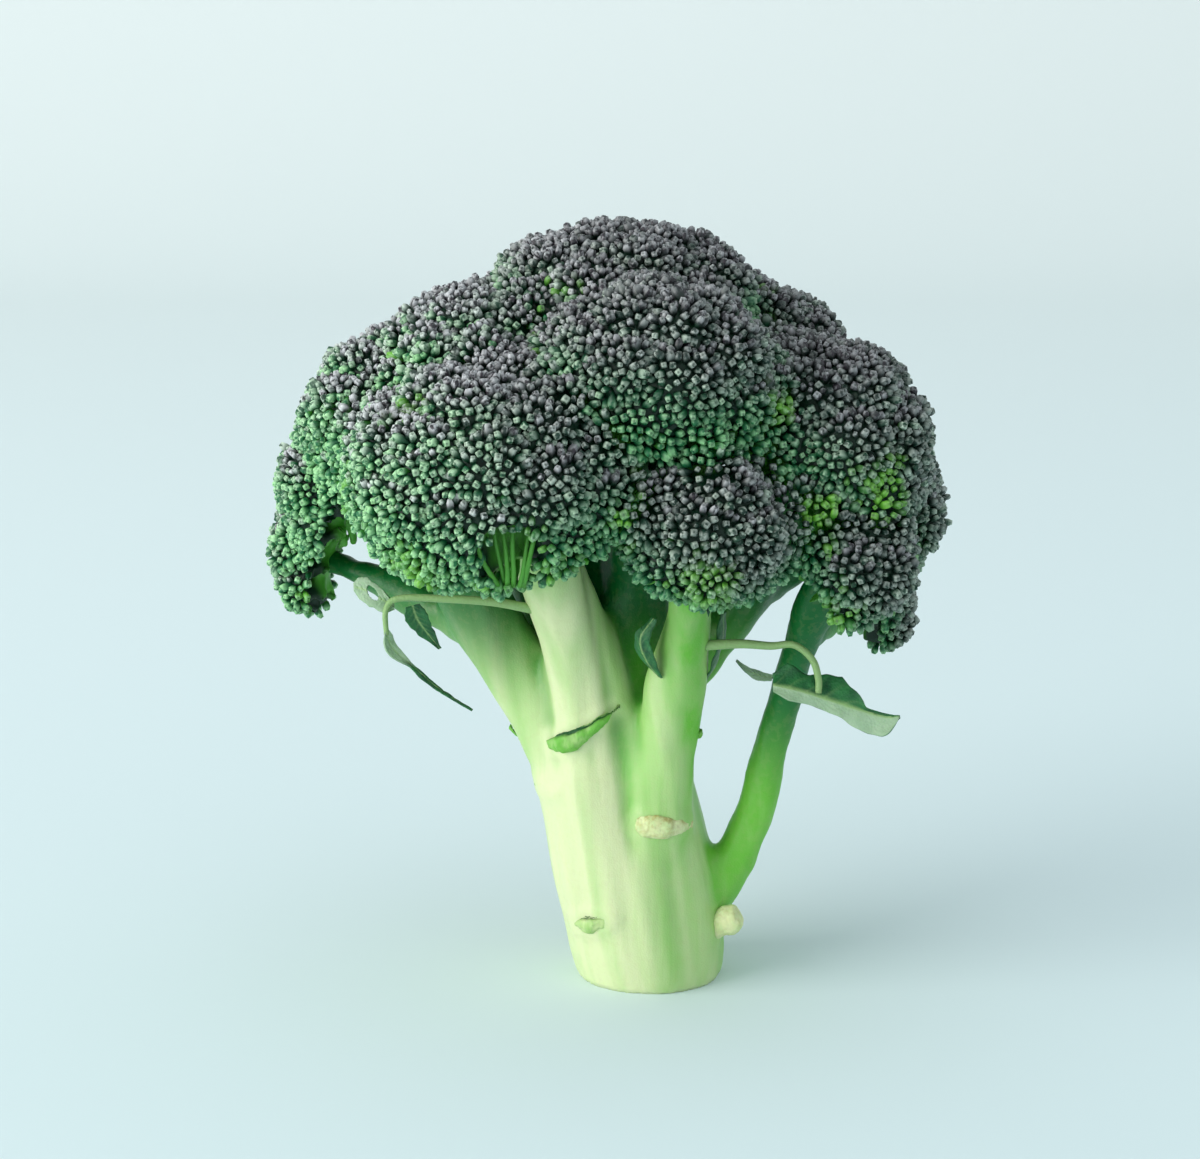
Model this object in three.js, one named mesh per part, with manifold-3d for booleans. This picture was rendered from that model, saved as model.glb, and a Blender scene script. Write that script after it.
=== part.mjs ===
// A head of broccoli standing on its cut stem: one thick leaning stalk, the branches that leave
// it, a domed floret of flower buds on the end of each branch, a few small leaves left on after
// trimming, and the stubs and scars where the larger leaves were cut away.
//
// Millimetres, +Z up. The origin is the middle of the flat cut foot. +X is to the right and -Y is
// to the front, the side with the two biggest florets.
import * as THREE from "three";
import { mergeVertices } from "three/addons/utils/BufferGeometryUtils.js";
import Module from "manifold-3d";

const wasm = await Module();
wasm.setup();

// ---------------------------------------------------------------- driving dimensions

// The crown is the dome that all the florets make together.
const crown = {
  width: 150, // across X
  depth: 138, // across Y
  height: 88, // from the rim to the top
  rim: 82, // height of the rim above the cut foot
  offset: -12, // the crown's middle, left of the foot's
};

const stalk = {
  height: 74,
  footRadius: 16.4, // the flat cut face
  bellyRadius: 18,
  shoulderRadius: 15.5, // just below the first fork
  topRadius: 9,
  chamfer: 2.2, // height over which the cut edge rounds in
  lean: 10.5, // how far the top stands left of the foot
  back: 2, // how far the top stands behind the foot
};

const clearance = 0.3; // between any two pieces that touch
const bladeThickness = 0.9;
const petioleRadius = 0.85;
const lumpRise = 0.055; // a floret's lobes, as a share of its radius
const innerShare = 0.5; // a floret's inner side, as a share of its smallest radius

// ---------------------------------------------------------------- small helpers

const vector = (x, y, z) => new THREE.Vector3(x, y, z);
const FRONT = vector(0, -1, 0);
const UP = vector(0, 0, 1);

// A manifold-3d solid of a closed three.js geometry.
function solidOf(geometry) {
  const bare = new THREE.BufferGeometry();
  bare.setAttribute("position", geometry.getAttribute("position"));
  bare.setIndex(geometry.index);
  const merged = mergeVertices(bare, 1e-4);
  return new wasm.Manifold(
    new wasm.Mesh({
      numProp: 3,
      vertProperties: merged.attributes.position.array,
      triVerts: new Uint32Array(merged.index.array),
    }),
  );
}

function geometryOf(solid) {
  const { numProp, numVert, vertProperties, triVerts } = solid.getMesh();
  const position = new Float32Array(numVert * 3);
  for (let i = 0; i < numVert; i++) {
    position.set(vertProperties.subarray(i * numProp, i * numProp + 3), i * 3);
  }
  const geometry = new THREE.BufferGeometry();
  geometry.setAttribute("position", new THREE.BufferAttribute(position, 3));
  geometry.setIndex(new THREE.BufferAttribute(triVerts, 1));
  geometry.computeVertexNormals();
  return geometry;
}

// What is left of a solid once its neighbours, grown by the clearance, are cut away. A cut can
// shave off slivers, so the body with the most volume is the piece.
function cutClear(solid, neighbours) {
  const cut = neighbours.reduce((left, other) => left.subtract(other), solid);
  return cut.decompose().reduce((a, b) => (b.volume() > a.volume() ? b : a));
}

// A value along a list of [share, value] pairs, eased between them.
function along(stops, share) {
  const after = stops.findIndex(([at]) => at >= share);
  if (after <= 0) return stops[after < 0 ? stops.length - 1 : 0][1];
  const [a, from] = stops[after - 1];
  const [b, to] = stops[after];
  return THREE.MathUtils.lerp(from, to, THREE.MathUtils.smoothstep(share, a, b));
}

// The curve's point, direction and two cross directions at a share of its length. A level station
// keeps its section horizontal.
function station(curve, share, facing, level = false) {
  const tangent = level ? UP.clone() : curve.getTangentAt(share);
  const across = tangent.clone().cross(facing).normalize();
  const out = across.clone().cross(tangent).normalize();
  return { point: curve.getPointAt(share), tangent, across, out };
}

// ---------------------------------------------------------------- solid shapes

// A round limb along a curve: a closed lathe whose axis is bent to follow the curve. flatten
// below 1 makes the section an oval, thin in the direction it faces.
function limb(curve, { radius, sides = 12, rings = 7, flatten = 1, facing = FRONT, level }, grow = 0) {
  const shares = Array.from({ length: rings + 1 }, (_, i) => i / rings);
  const profile = [
    new THREE.Vector2(0, 0),
    ...shares.map((share) => new THREE.Vector2(along(radius, share) + grow, share)),
    new THREE.Vector2(0, 1),
  ];
  const geometry = new THREE.LatheGeometry(profile, sides);
  const position = geometry.attributes.position;
  const point = new THREE.Vector3();
  const stations = shares.map((share) => station(curve, share, facing, level));
  for (let i = 0; i < position.count; i++) {
    point.fromBufferAttribute(position, i);
    const ring = THREE.MathUtils.clamp(Math.round(point.y * rings), 0, rings);
    const { point: middle, tangent, across, out } = stations[ring];
    const end = ring === 0 ? -grow : ring === rings ? grow : 0;
    const placed = middle
      .clone()
      .addScaledVector(across, point.x)
      .addScaledVector(out, point.z * flatten)
      .addScaledVector(tangent, end);
    position.setXYZ(i, placed.x, placed.y, placed.z);
  }
  return solidOf(geometry);
}

// A floret: a lumpy dome about its centre, flat on the inner side that faces its branch.
function dome({ centre, radii, axis, lobes, turn, detail = 2 }, grow = 0) {
  const golden = Math.PI * (3 - Math.sqrt(5));
  const lobeTips = Array.from({ length: lobes }, (_, i) => {
    const height = 1 - (2 * i + 1) / lobes;
    const ring = Math.sqrt(1 - height * height);
    const angle = golden * i + turn;
    return vector(ring * Math.cos(angle), ring * Math.sin(angle), height);
  });
  const inner = innerShare * Math.min(radii.x, radii.y, radii.z) + grow;
  const geometry = new THREE.IcosahedronGeometry(1, detail);
  const position = geometry.attributes.position;
  const direction = new THREE.Vector3();
  for (let i = 0; i < position.count; i++) {
    direction.fromBufferAttribute(position, i).normalize();
    const nearest = Math.max(...lobeTips.map((tip) => tip.dot(direction)));
    const swell = 1 + lumpRise * (2 * THREE.MathUtils.smoothstep(nearest, 0.55, 1) - 1);
    const placed = direction.clone().multiply(radii).multiplyScalar(swell);
    placed.addScaledVector(direction, grow);
    const inward = placed.dot(axis);
    if (inward < -inner) placed.addScaledVector(axis, -inner - inward);
    placed.add(centre);
    position.setXYZ(i, placed.x, placed.y, placed.z);
  }
  return solidOf(geometry);
}

// A leaf blade along its midrib: a thin plate as wide as the outline says, its two halves folded
// up from the midrib, with a wavy margin.
function blade(midrib, { halfWidth, fold, wave = 0, waves = 2, facing = FRONT, steps = 10 }, grow = 0) {
  const across = 4; // columns of faces over the width, an even number so that one line is the midrib
  const geometry = new THREE.BoxGeometry(1, 2, 1, steps, across, 1);
  const position = geometry.attributes.position;
  const point = new THREE.Vector3();
  for (let i = 0; i < position.count; i++) {
    point.fromBufferAttribute(position, i);
    const share = point.x + 0.5;
    const { point: middle, tangent, across: side, out } = station(midrib, share, facing);
    const reach = along(halfWidth, share) + grow;
    const angle = point.y < 0 ? fold[0] : fold[1];
    const edge = Math.abs(point.y);
    const ripple = wave * edge * edge * Math.sin(2 * Math.PI * waves * share);
    const end = share === 0 ? -grow : share === 1 ? grow : 0;
    const placed = middle
      .clone()
      .addScaledVector(side, -point.y * reach * Math.cos(angle))
      .addScaledVector(out, edge * reach * Math.sin(angle) + ripple)
      .addScaledVector(out, point.z * (bladeThickness + 2 * grow))
      .addScaledVector(tangent, end);
    position.setXYZ(i, placed.x, placed.y, placed.z);
  }
  return solidOf(geometry);
}

// ---------------------------------------------------------------- the stalk

const stalkCurve = new THREE.CatmullRomCurve3(
  [
    [0, 0],
    [0.2, 0.17],
    [0.45, 0.5],
    [0.7, 0.85],
    [1, 1],
  ].map(([rise, lean]) => vector(-stalk.lean * lean, stalk.back * lean, stalk.height * rise)),
);
const stalkRadius = [
  [0, stalk.footRadius],
  [stalk.chamfer / stalk.height, stalk.bellyRadius - 0.6],
  [0.3, stalk.bellyRadius],
  [0.62, stalk.bellyRadius - 0.4],
  [0.82, stalk.shoulderRadius],
  [1, stalk.topRadius],
];

// A point in the stalk at a share of its length, set off from its middle by shares of its radius.
function inStalk(share, right, front) {
  const radius = along(stalkRadius, share);
  return stalkCurve.getPointAt(share).add(vector(right * radius, -front * radius, 0));
}

// Level sections put the bottom one in the plane of the cut, so the stalk stands flat.
const stalkShape = { radius: stalkRadius, sides: 22, rings: 12, level: true };

function makeStalk(grow = 0) {
  return limb(stalkCurve, stalkShape, grow);
}

// ---------------------------------------------------------------- the florets

// Where the crown's branches seem to come from: every floret faces away from it.
const heart = vector(crown.offset + 4, 0, crown.rim - 7);

// at is the middle of the floret in the crown: shares of its half width and half depth from the
// crown's middle, and of its height above the rim. size is its half extents, as the same shares.
// lobes is how many lumps a full sphere of it would carry, and turn rotates their pattern.
const florets = [
  { name: "floret_top", at: [0.07, 0.17, 0.765], size: [0.43, 0.42, 0.225], lobes: 16, turn: 0.4 },
  { name: "floret_front_left", at: [-0.276, -0.45, 0.42], size: [0.42, 0.4, 0.275], lobes: 16, turn: 1.1 },
  { name: "floret_front_centre", at: [0.17, -0.37, 0.65], size: [0.33, 0.34, 0.235], lobes: 14, turn: 2.3 },
  { name: "floret_right", at: [0.67, -0.12, 0.455], size: [0.29, 0.37, 0.265], lobes: 14, turn: 0.2 },
  { name: "floret_front_low", at: [0.3, -0.53, 0.3], size: [0.235, 0.24, 0.18], lobes: 11, turn: 0.9 },
  { name: "floret_right_low", at: [0.72, -0.34, 0.2], size: [0.19, 0.21, 0.155], lobes: 10, turn: 1.7 },
  { name: "floret_left", at: [-0.6, 0.03, 0.51], size: [0.265, 0.36, 0.215], lobes: 13, turn: 2.9 },
  { name: "floret_top_left", at: [-0.36, -0.03, 0.685], size: [0.25, 0.34, 0.165], lobes: 12, turn: 0.7 },
  { name: "floret_left_side", at: [-0.79, 0.17, 0.325], size: [0.17, 0.25, 0.185], lobes: 10, turn: 1.3 },
  { name: "floret_left_low", at: [-0.87, 0.32, 0.12], size: [0.135, 0.18, 0.155], lobes: 9, turn: 0.1 },
  { name: "floret_right_top", at: [0.54, 0.28, 0.675], size: [0.2, 0.25, 0.145], lobes: 11, turn: 2.1 },
  { name: "floret_rear_right_low", at: [0.865, 0.26, 0.0], size: [0.105, 0.14, 0.115], lobes: 9, turn: 1.9 },
  { name: "floret_right_side", at: [0.86, 0.2, 0.27], size: [0.185, 0.25, 0.185], lobes: 10, turn: 1.2 },
  { name: "floret_rear", at: [0.06, 0.61, 0.47], size: [0.38, 0.33, 0.28], lobes: 15, turn: 1.5 },
  { name: "floret_rear_left", at: [-0.46, 0.47, 0.46], size: [0.32, 0.33, 0.28], lobes: 13, turn: 2.6 },
  { name: "floret_rear_right", at: [0.61, 0.46, 0.4], size: [0.33, 0.34, 0.285], lobes: 13, turn: 0.5 },
  { name: "floret_rear_low", at: [0.26, 0.67, 0.12], size: [0.22, 0.2, 0.17], lobes: 10, turn: 2.2 },
  { name: "floret_rear_left_low", at: [-0.32, 0.62, 0.14], size: [0.21, 0.2, 0.17], lobes: 10, turn: 0.8 },
];

for (const floret of florets) {
  const [right, back, up] = floret.at;
  floret.centre = vector(
    crown.offset + (right * crown.width) / 2,
    (back * crown.depth) / 2,
    crown.rim + up * crown.height,
  );
  floret.radii = vector(
    (floret.size[0] * crown.width) / 2,
    (floret.size[1] * crown.depth) / 2,
    floret.size[2] * crown.height,
  );
  floret.axis = floret.centre.clone().sub(heart).normalize();
  floret.detail = floret.size[0] > 0.26 ? 3 : 2; // a big dome needs smaller facets
  // The branch ends inside the floret, a little outward of its flat inner side.
  const sunk = 0.2 * Math.min(...floret.radii.toArray());
  floret.hub = floret.centre.clone().addScaledVector(floret.axis, -sunk);
}
const floretNamed = (name) => florets.find((floret) => floret.name === name);

// ---------------------------------------------------------------- the branches

// Each branch leaves the stalk or another branch along one direction and reaches its floret along
// another; both are given in millimetres, as the handles of a cubic curve.
const branches = [
  {
    name: "branch_top",
    floret: "floret_top",
    root: () => inStalk(0.72, 0.1, -0.1),
    leaves: [2, 0, 28],
    reaches: [-1, 3, 30],
    radius: [[0, 12.5], [0.4, 10.6], [1, 8]],
    sides: 16,
  },
  {
    name: "branch_front_left",
    floret: "floret_front_left",
    root: () => inStalk(0.7, -0.1, 0.3),
    leaves: [-5, -3, 26],
    reaches: [-10, -14, 16],
    radius: [[0, 11], [0.45, 8.2], [1, 6.5]],
    sides: 14,
  },
  {
    name: "branch_front",
    floret: "floret_front_low",
    root: () => inStalk(0.44, 0.33, 0.5),
    leaves: [1.2, -1.5, 28],
    reaches: [1, -16, 18],
    radius: [[0, 8.2], [0.4, 6.4], [0.65, 5.3], [1, 4.8]],
    sides: 14,
  },
  {
    name: "branch_left",
    floret: "floret_left",
    root: () => inStalk(0.62, -0.25, 0),
    leaves: [-16, -1, 22],
    reaches: [-7, 0, 30],
    radius: [[0, 10.5], [0.35, 7.6], [1, 5.6]],
    sides: 14,
  },
  {
    name: "branch_right_low",
    floret: "floret_right_low",
    root: () => inStalk(0.2, 0.55, 0),
    leaves: [22, -2, 13],
    reaches: [16, -22, 32],
    radius: [[0, 6.8], [0.2, 4.7], [0.45, 3.7], [1, 4.3]],
    rings: 11,
  },
  {
    name: "branch_right",
    floret: "floret_right",
    root: () => inStalk(0.8, 0.3, -0.3),
    leaves: [18, 4, 10],
    reaches: [8, -8, 26],
    radius: [[0, 6.5], [0.4, 5], [1, 4.8]],
  },
  {
    name: "branch_rear",
    floret: "floret_rear",
    root: () => inStalk(0.7, 0.05, -0.35),
    leaves: [0, 8, 20],
    reaches: [0, 16, 18],
    radius: [[0, 9.5], [0.4, 7], [1, 6]],
  },
  {
    name: "branch_rear_left",
    floret: "floret_rear_left",
    root: () => inStalk(0.76, -0.25, -0.3),
    leaves: [-8, 8, 18],
    reaches: [-12, 10, 16],
    radius: [[0, 8], [0.4, 6.2], [1, 5.5]],
  },
  {
    name: "branch_rear_right",
    floret: "floret_rear_right",
    root: () => inStalk(0.78, 0.25, -0.45),
    leaves: [8, 9, 15],
    reaches: [11, 9, 17],
    radius: [[0, 7.5], [0.4, 5.6], [1, 5]],
  },
  {
    name: "branch_front_centre",
    floret: "floret_front_centre",
    parent: "branch_top",
    parentShare: 0.32,
    leaves: [3, -8, 16],
    reaches: [1, -8, 18],
    radius: [[0, 7], [1, 5.5]],
    rings: 6,
  },
  {
    name: "branch_right_top",
    floret: "floret_right_top",
    parent: "branch_top",
    parentShare: 0.42,
    leaves: [8, 3, 14],
    reaches: [9, 4, 10],
    radius: [[0, 6], [1, 5]],
    rings: 6,
  },
  {
    name: "branch_top_left",
    floret: "floret_top_left",
    parent: "branch_front_left",
    parentShare: 0.42,
    leaves: [-4, 4, 18],
    reaches: [-6, 0, 18],
    radius: [[0, 5.8], [1, 4.6]],
    rings: 6,
  },
  {
    name: "branch_left_side",
    floret: "floret_left_side",
    parent: "branch_left",
    parentShare: 0.56,
    leaves: [-9, 3, 9],
    reaches: [-9, 2, 8],
    radius: [[0, 4.8], [1, 3.8]],
    rings: 5,
    sides: 10,
  },
  {
    name: "branch_left_low",
    floret: "floret_left_low",
    parent: "branch_left",
    parentShare: 0.4,
    leaves: [-12, 6, 6],
    reaches: [-12, 5, 2],
    radius: [[0, 4.6], [1, 3.2]],
    rings: 6,
    sides: 10,
  },
  {
    name: "branch_rear_right_low",
    floret: "floret_rear_right_low",
    parent: "branch_right_low",
    parentShare: 0.76,
    leaves: [5, 5, 6],
    reaches: [6, 6, 2],
    radius: [[0, 3.4], [1, 2.6]],
    rings: 5,
    sides: 10,
  },
  {
    name: "branch_right_side",
    floret: "floret_right_side",
    parent: "branch_right",
    parentShare: 0.5,
    leaves: [9, 4, 5],
    reaches: [10, 2, 6],
    radius: [[0, 3.8], [1, 3.2]],
    rings: 5,
    sides: 10,
  },
  {
    name: "branch_rear_low",
    floret: "floret_rear_low",
    parent: "branch_rear",
    parentShare: 0.4,
    leaves: [3, 9, 3],
    reaches: [3, 8, 3],
    radius: [[0, 4.4], [1, 3.6]],
    rings: 5,
    sides: 10,
  },
  {
    name: "branch_rear_left_low",
    floret: "floret_rear_left_low",
    parent: "branch_rear_left",
    parentShare: 0.42,
    leaves: [0, 10, 3],
    reaches: [0, 8, 2],
    radius: [[0, 4.2], [1, 3.4]],
    rings: 5,
    sides: 10,
  },
];
const branchNamed = (name) => branches.find((branch) => branch.name === name);

for (const branch of branches) {
  const root = branch.root
    ? branch.root()
    : branchNamed(branch.parent).curve.getPointAt(branch.parentShare);
  const hub = floretNamed(branch.floret).hub;
  branch.curve = new THREE.CubicBezierCurve3(
    root,
    root.clone().add(vector(...branch.leaves)),
    hub.clone().sub(vector(...branch.reaches)),
    hub,
  );
}

// A point on a branch's skin, at a share of its length and an angle round it: 0 is to its right
// and 90 degrees to its front. sunk sets it below the skin.
function onBranch(name, share, angle, sunk = 0) {
  const { curve, radius } = branchNamed(name);
  const { point, across, out } = station(curve, share, FRONT);
  const turn = THREE.MathUtils.degToRad(angle);
  return point
    .addScaledVector(across, (along(radius, share) - sunk) * Math.cos(turn))
    .addScaledVector(out, (along(radius, share) - sunk) * Math.sin(turn));
}

// The same on the stalk.
function onStalk(share, angle, sunk = 0) {
  const turn = THREE.MathUtils.degToRad(angle);
  const radius = along(stalkRadius, share) - sunk;
  return stalkCurve
    .getPointAt(share)
    .add(vector(radius * Math.cos(turn), -radius * Math.sin(turn), 0));
}

// ---------------------------------------------------------------- leaves, stubs and scars

const curveThrough = (...points) => new THREE.CatmullRomCurve3(points);
const shifted = (point, x, y, z) => point.clone().add(vector(x, y, z));

// A leaf on its stalk: the petiole runs through the points, and the blade starts where it ends.
function leaf(petiole, midrib, shape, grow) {
  const thickness = [[0, 1.25 * petioleRadius], [1, petioleRadius]];
  const stem = limb(petiole, { radius: thickness, sides: 8, rings: 8 }, grow);
  return stem.add(blade(midrib, shape, grow));
}

// Where the two long-stalked leaves grow out of their branches.
const leafRootRight = onBranch("branch_front", 0.64, 20, 1);
const leafRootLeft = onBranch("branch_front_left", 0.53, 170, 1.2);

function makeLeafRight(grow = 0) {
  const end = shifted(leafRootRight, 21, -5, -8);
  const petiole = curveThrough(
    leafRootRight,
    shifted(leafRootRight, 8, 0, 0.2),
    shifted(leafRootRight, 15.5, -3, -0.4),
    shifted(leafRootRight, 20, -5, -3.2),
    end,
  );
  const midrib = curveThrough(
    shifted(end, -7.5, 1.5, 0.2),
    shifted(end, 1, 0, -1.2),
    shifted(end, 9, -2, -3.4),
    shifted(end, 18, -4, -4),
  );
  const shape = {
    halfWidth: [[0, 2.6], [0.3, 5.4], [0.62, 5.2], [1, 0.5]],
    fold: [-0.3, 1.2],
    wave: 0.9,
    facing: UP,
  };
  return leaf(petiole, midrib, shape, grow);
}

function makeLeafLeft(grow = 0) {
  const bend = shifted(leafRootLeft, -31, -1, 1.6);
  const end = shifted(bend, -2, 0, -5);
  const petiole = curveThrough(
    leafRootLeft,
    shifted(leafRootLeft, -14, -2.5, 3),
    shifted(leafRootLeft, -25, -2, 3.6),
    bend,
    end,
  );
  const midrib = curveThrough(
    shifted(end, -0.2, 0, 1),
    shifted(end, 2, -0.5, -4.5),
    shifted(end, 6.5, 0, -10),
    shifted(end, 14.5, 0.5, -17),
  );
  const shape = {
    halfWidth: [[0, 0.9], [0.25, 2.8], [0.5, 1.7], [1, 0.4]],
    fold: [1.0, 0.9],
    wave: 0.3,
  };
  return leaf(petiole, midrib, shape, grow);
}

// A small leaf with no stalk of its own, growing from a point along a direction.
function leaflet(root, reach, shape, grow) {
  const tip = root.clone().add(vector(...reach));
  const middle = root.clone().lerp(tip, 0.5).add(vector(...(shape.bow ?? [0, 0, 0])));
  return blade(curveThrough(root, middle, tip), { steps: 6, ...shape }, grow);
}

// What is left of a trimmed leaf: a limb from a host's skin along a direction, cut off flat.
function knob(root, reach, shape, grow) {
  const tip = root.clone().add(vector(...reach));
  return limb(curveThrough(root, tip), { sides: 12, rings: 4, ...shape }, grow);
}

// A ridge that wraps part of the way round a host, through the given points on its skin.
function ridge(points, shape, grow) {
  return limb(curveThrough(...points), { sides: 10, rings: 8, ...shape }, grow);
}

const trimmings = [
  { name: "leaf_right", kind: "leaf", make: makeLeafRight },
  { name: "leaf_left", kind: "leaf", make: makeLeafLeft },
  {
    name: "leaflet_left",
    kind: "leaf",
    make: (grow = 0) => {
      const shape = { halfWidth: [[0, 1.2], [0.5, 3.2], [1, 1]], fold: [0.5, 0.5], wave: 0.5 };
      return leaflet(shifted(leafRootLeft, -31.5, -0.8, 3), [-8, 2.5, 3.4], shape, grow);
    },
  },
  {
    name: "leaflet_hanging",
    kind: "leaf",
    make: (grow = 0) => {
      const shape = { halfWidth: [[0, 2.4], [0.35, 2.9], [1, 0.5]], fold: [0.5, 0.5], bow: [-1, 0, 0] };
      return leaflet(shifted(leafRootLeft, -25.6, -2, 2.9), [4, 1, -9.4], shape, grow);
    },
  },
  {
    name: "leaflet_right",
    kind: "leaf",
    make: (grow = 0) => {
      const shape = { halfWidth: [[0, 0.8], [0.4, 1.3], [1, 0.4]], fold: [0.6, 0.6], bow: [0.6, 0, -1.4] };
      return leaflet(onBranch("branch_right_low", 0.66, 175, 0.8), [-8.5, 0.4, 3.6], shape, grow);
    },
  },
  {
    name: "bract_left",
    kind: "leaf",
    make: (grow = 0) => {
      const shape = {
        halfWidth: [[0, 0.7], [0.45, 2.6], [1, 1.4]],
        fold: [0.3, 0.3],
        bow: [-3, -0.5, 0],
        facing: vector(-1, -0.6, 0),
      };
      return leaflet(onBranch("branch_front", 0.55, 122, 0.2), [-1.4, -1.6, 13], shape, grow);
    },
  },
  {
    name: "bract_right",
    kind: "leaf",
    make: (grow = 0) => {
      const shape = {
        halfWidth: [[0, 0.7], [0.5, 3.0], [1, 2.2]],
        fold: [0.3, 0.3],
        bow: [2, 0.4, 0],
        facing: vector(1, 0.2, 0),
      };
      return leaflet(onBranch("branch_front", 0.52, 8, 0.2), [2.6, -0.5, 15], shape, grow);
    },
  },
  {
    name: "stub_low_right",
    kind: "stub",
    make: (grow = 0) => {
      const shape = { radius: [[0, 3.4], [0.5, 3.1], [0.8, 3.7], [1, 2.6]], flatten: 0.85 };
      return knob(onStalk(0.15, 24, 4), [8.6, -3.8, 5], shape, grow);
    },
  },
  {
    name: "stub_front_low",
    kind: "stub",
    make: (grow = 0) => {
      const points = [onStalk(0.19, 150, 0.4), onStalk(0.22, 125), onStalk(0.255, 99, 0.7)];
      return ridge(points, { radius: [[0, 1.8], [0.35, 2.7], [1, 0.8]], flatten: 0.8 }, grow);
    },
  },
  {
    name: "stub_front_mid",
    kind: "stub",
    make: (grow = 0) => {
      const points = [
        onBranch("branch_front_left", 0.1, 160, -0.6),
        onBranch("branch_front_left", 0.13, 125, -1),
        onBranch("branch_front_left", 0.18, 85, -0.6),
        onBranch("branch_front_left", 0.21, 50, 0.2),
      ];
      return ridge(points, { radius: [[0, 1.9], [0.3, 2.9], [0.65, 1.6], [1, 0.7]], flatten: 0.8 }, grow);
    },
  },
  {
    name: "scar_front",
    kind: "stub",
    make: (grow = 0) => {
      const points = [
        onBranch("branch_front", 0.08, 158, -0.4),
        onBranch("branch_front", 0.09, 115, -0.5),
        onBranch("branch_front", 0.09, 70, -0.5),
        onBranch("branch_front", 0.08, 20, -0.3),
      ];
      return ridge(points, { radius: [[0, 1.4], [0.5, 2.9], [1, 1.4]], flatten: 0.55 }, grow);
    },
  },
  {
    name: "scar_left",
    kind: "stub",
    make: (grow = 0) => {
      const points = [onStalk(0.65, 180, 0.2), onStalk(0.615, 160, -0.2), onStalk(0.61, 138, 0.2)];
      return ridge(points, { radius: [[0, 0.6], [0.5, 1.5], [1, 0.6]], rings: 5 }, grow);
    },
  },
  {
    name: "nub_left",
    kind: "leaf",
    make: (grow = 0) =>
      knob(onBranch("branch_left", 0.2, 185, 1.5), [-3.2, -0.4, 1.6], { radius: [[0, 1.9], [1, 1.1]] }, grow),
  },
  {
    name: "nub_right",
    kind: "leaf",
    make: (grow = 0) =>
      knob(onBranch("branch_front", 0.35, 8, 1.4), [2.9, -0.2, 0.4], { radius: [[0, 1.9], [1, 1.2]] }, grow),
  },
];

// ---------------------------------------------------------------- assembly

const materials = {
  stalk: new THREE.MeshStandardMaterial({ color: 0xb5d98b, roughness: 0.45, metalness: 0 }),
  branch: new THREE.MeshStandardMaterial({ color: 0x7fbf5a, roughness: 0.48, metalness: 0 }),
  floret: new THREE.MeshStandardMaterial({ color: 0x36493f, roughness: 0.8, metalness: 0 }),
  leaf: new THREE.MeshStandardMaterial({ color: 0x2f6b3c, roughness: 0.6, metalness: 0 }),
  stub: new THREE.MeshStandardMaterial({ color: 0xd3e0a0, roughness: 0.55, metalness: 0 }),
};

// What is placed so far, grown by the clearance: a later piece is cut clear of all of it.
const taken = [];

// Adds one piece to a group, cut clear of what is there, with its own origin at its anchor.
function place(group, name, material, make, anchor) {
  const solid = cutClear(make(), taken);
  taken.push(make(clearance));
  const geometry = geometryOf(solid);
  geometry.translate(-anchor.x, -anchor.y, -anchor.z);
  const mesh = new THREE.Mesh(geometry, material);
  mesh.name = name;
  mesh.position.copy(anchor);
  group.add(mesh);
}

const head = new THREE.Group();
head.name = "broccoli_head";

const stemGroup = new THREE.Group();
place(stemGroup, "stalk", materials.stalk, makeStalk, vector(0, 0, 0));
for (const branch of branches) {
  const make = (grow = 0) => limb(branch.curve, branch, grow);
  place(stemGroup, branch.name, materials.branch, make, branch.curve.getPointAt(0));
}

const crownGroup = new THREE.Group();
for (const floret of florets) {
  place(crownGroup, floret.name, materials.floret, (grow = 0) => dome(floret, grow), floret.centre);
}

const trimGroup = new THREE.Group();
for (const { name, kind, make } of trimmings) {
  place(trimGroup, name, materials[kind], make, vector(0, 0, 0));
}

head.add(stemGroup, crownGroup, trimGroup);

export default head;
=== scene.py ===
# %% [markdown]
# # A head of broccoli on its cut stalk
#
# This lesson dresses a plain solid model of a broccoli head in its real surface: a pale, ribbed stalk
# that flows into its branches, thousands of closed flower buds on every floret, small withered leaves
# and the torn remains of the trimmed ones. The solid model is the frame. It says where each piece is
# and how big it is, and everything below is measured from it, in metres.

# %% Load the frame
import math

import bmesh
import bpy
import numpy as np
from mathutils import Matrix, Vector, noise
from mathutils.bvhtree import BVHTree
from mathutils.kdtree import KDTree


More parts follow.
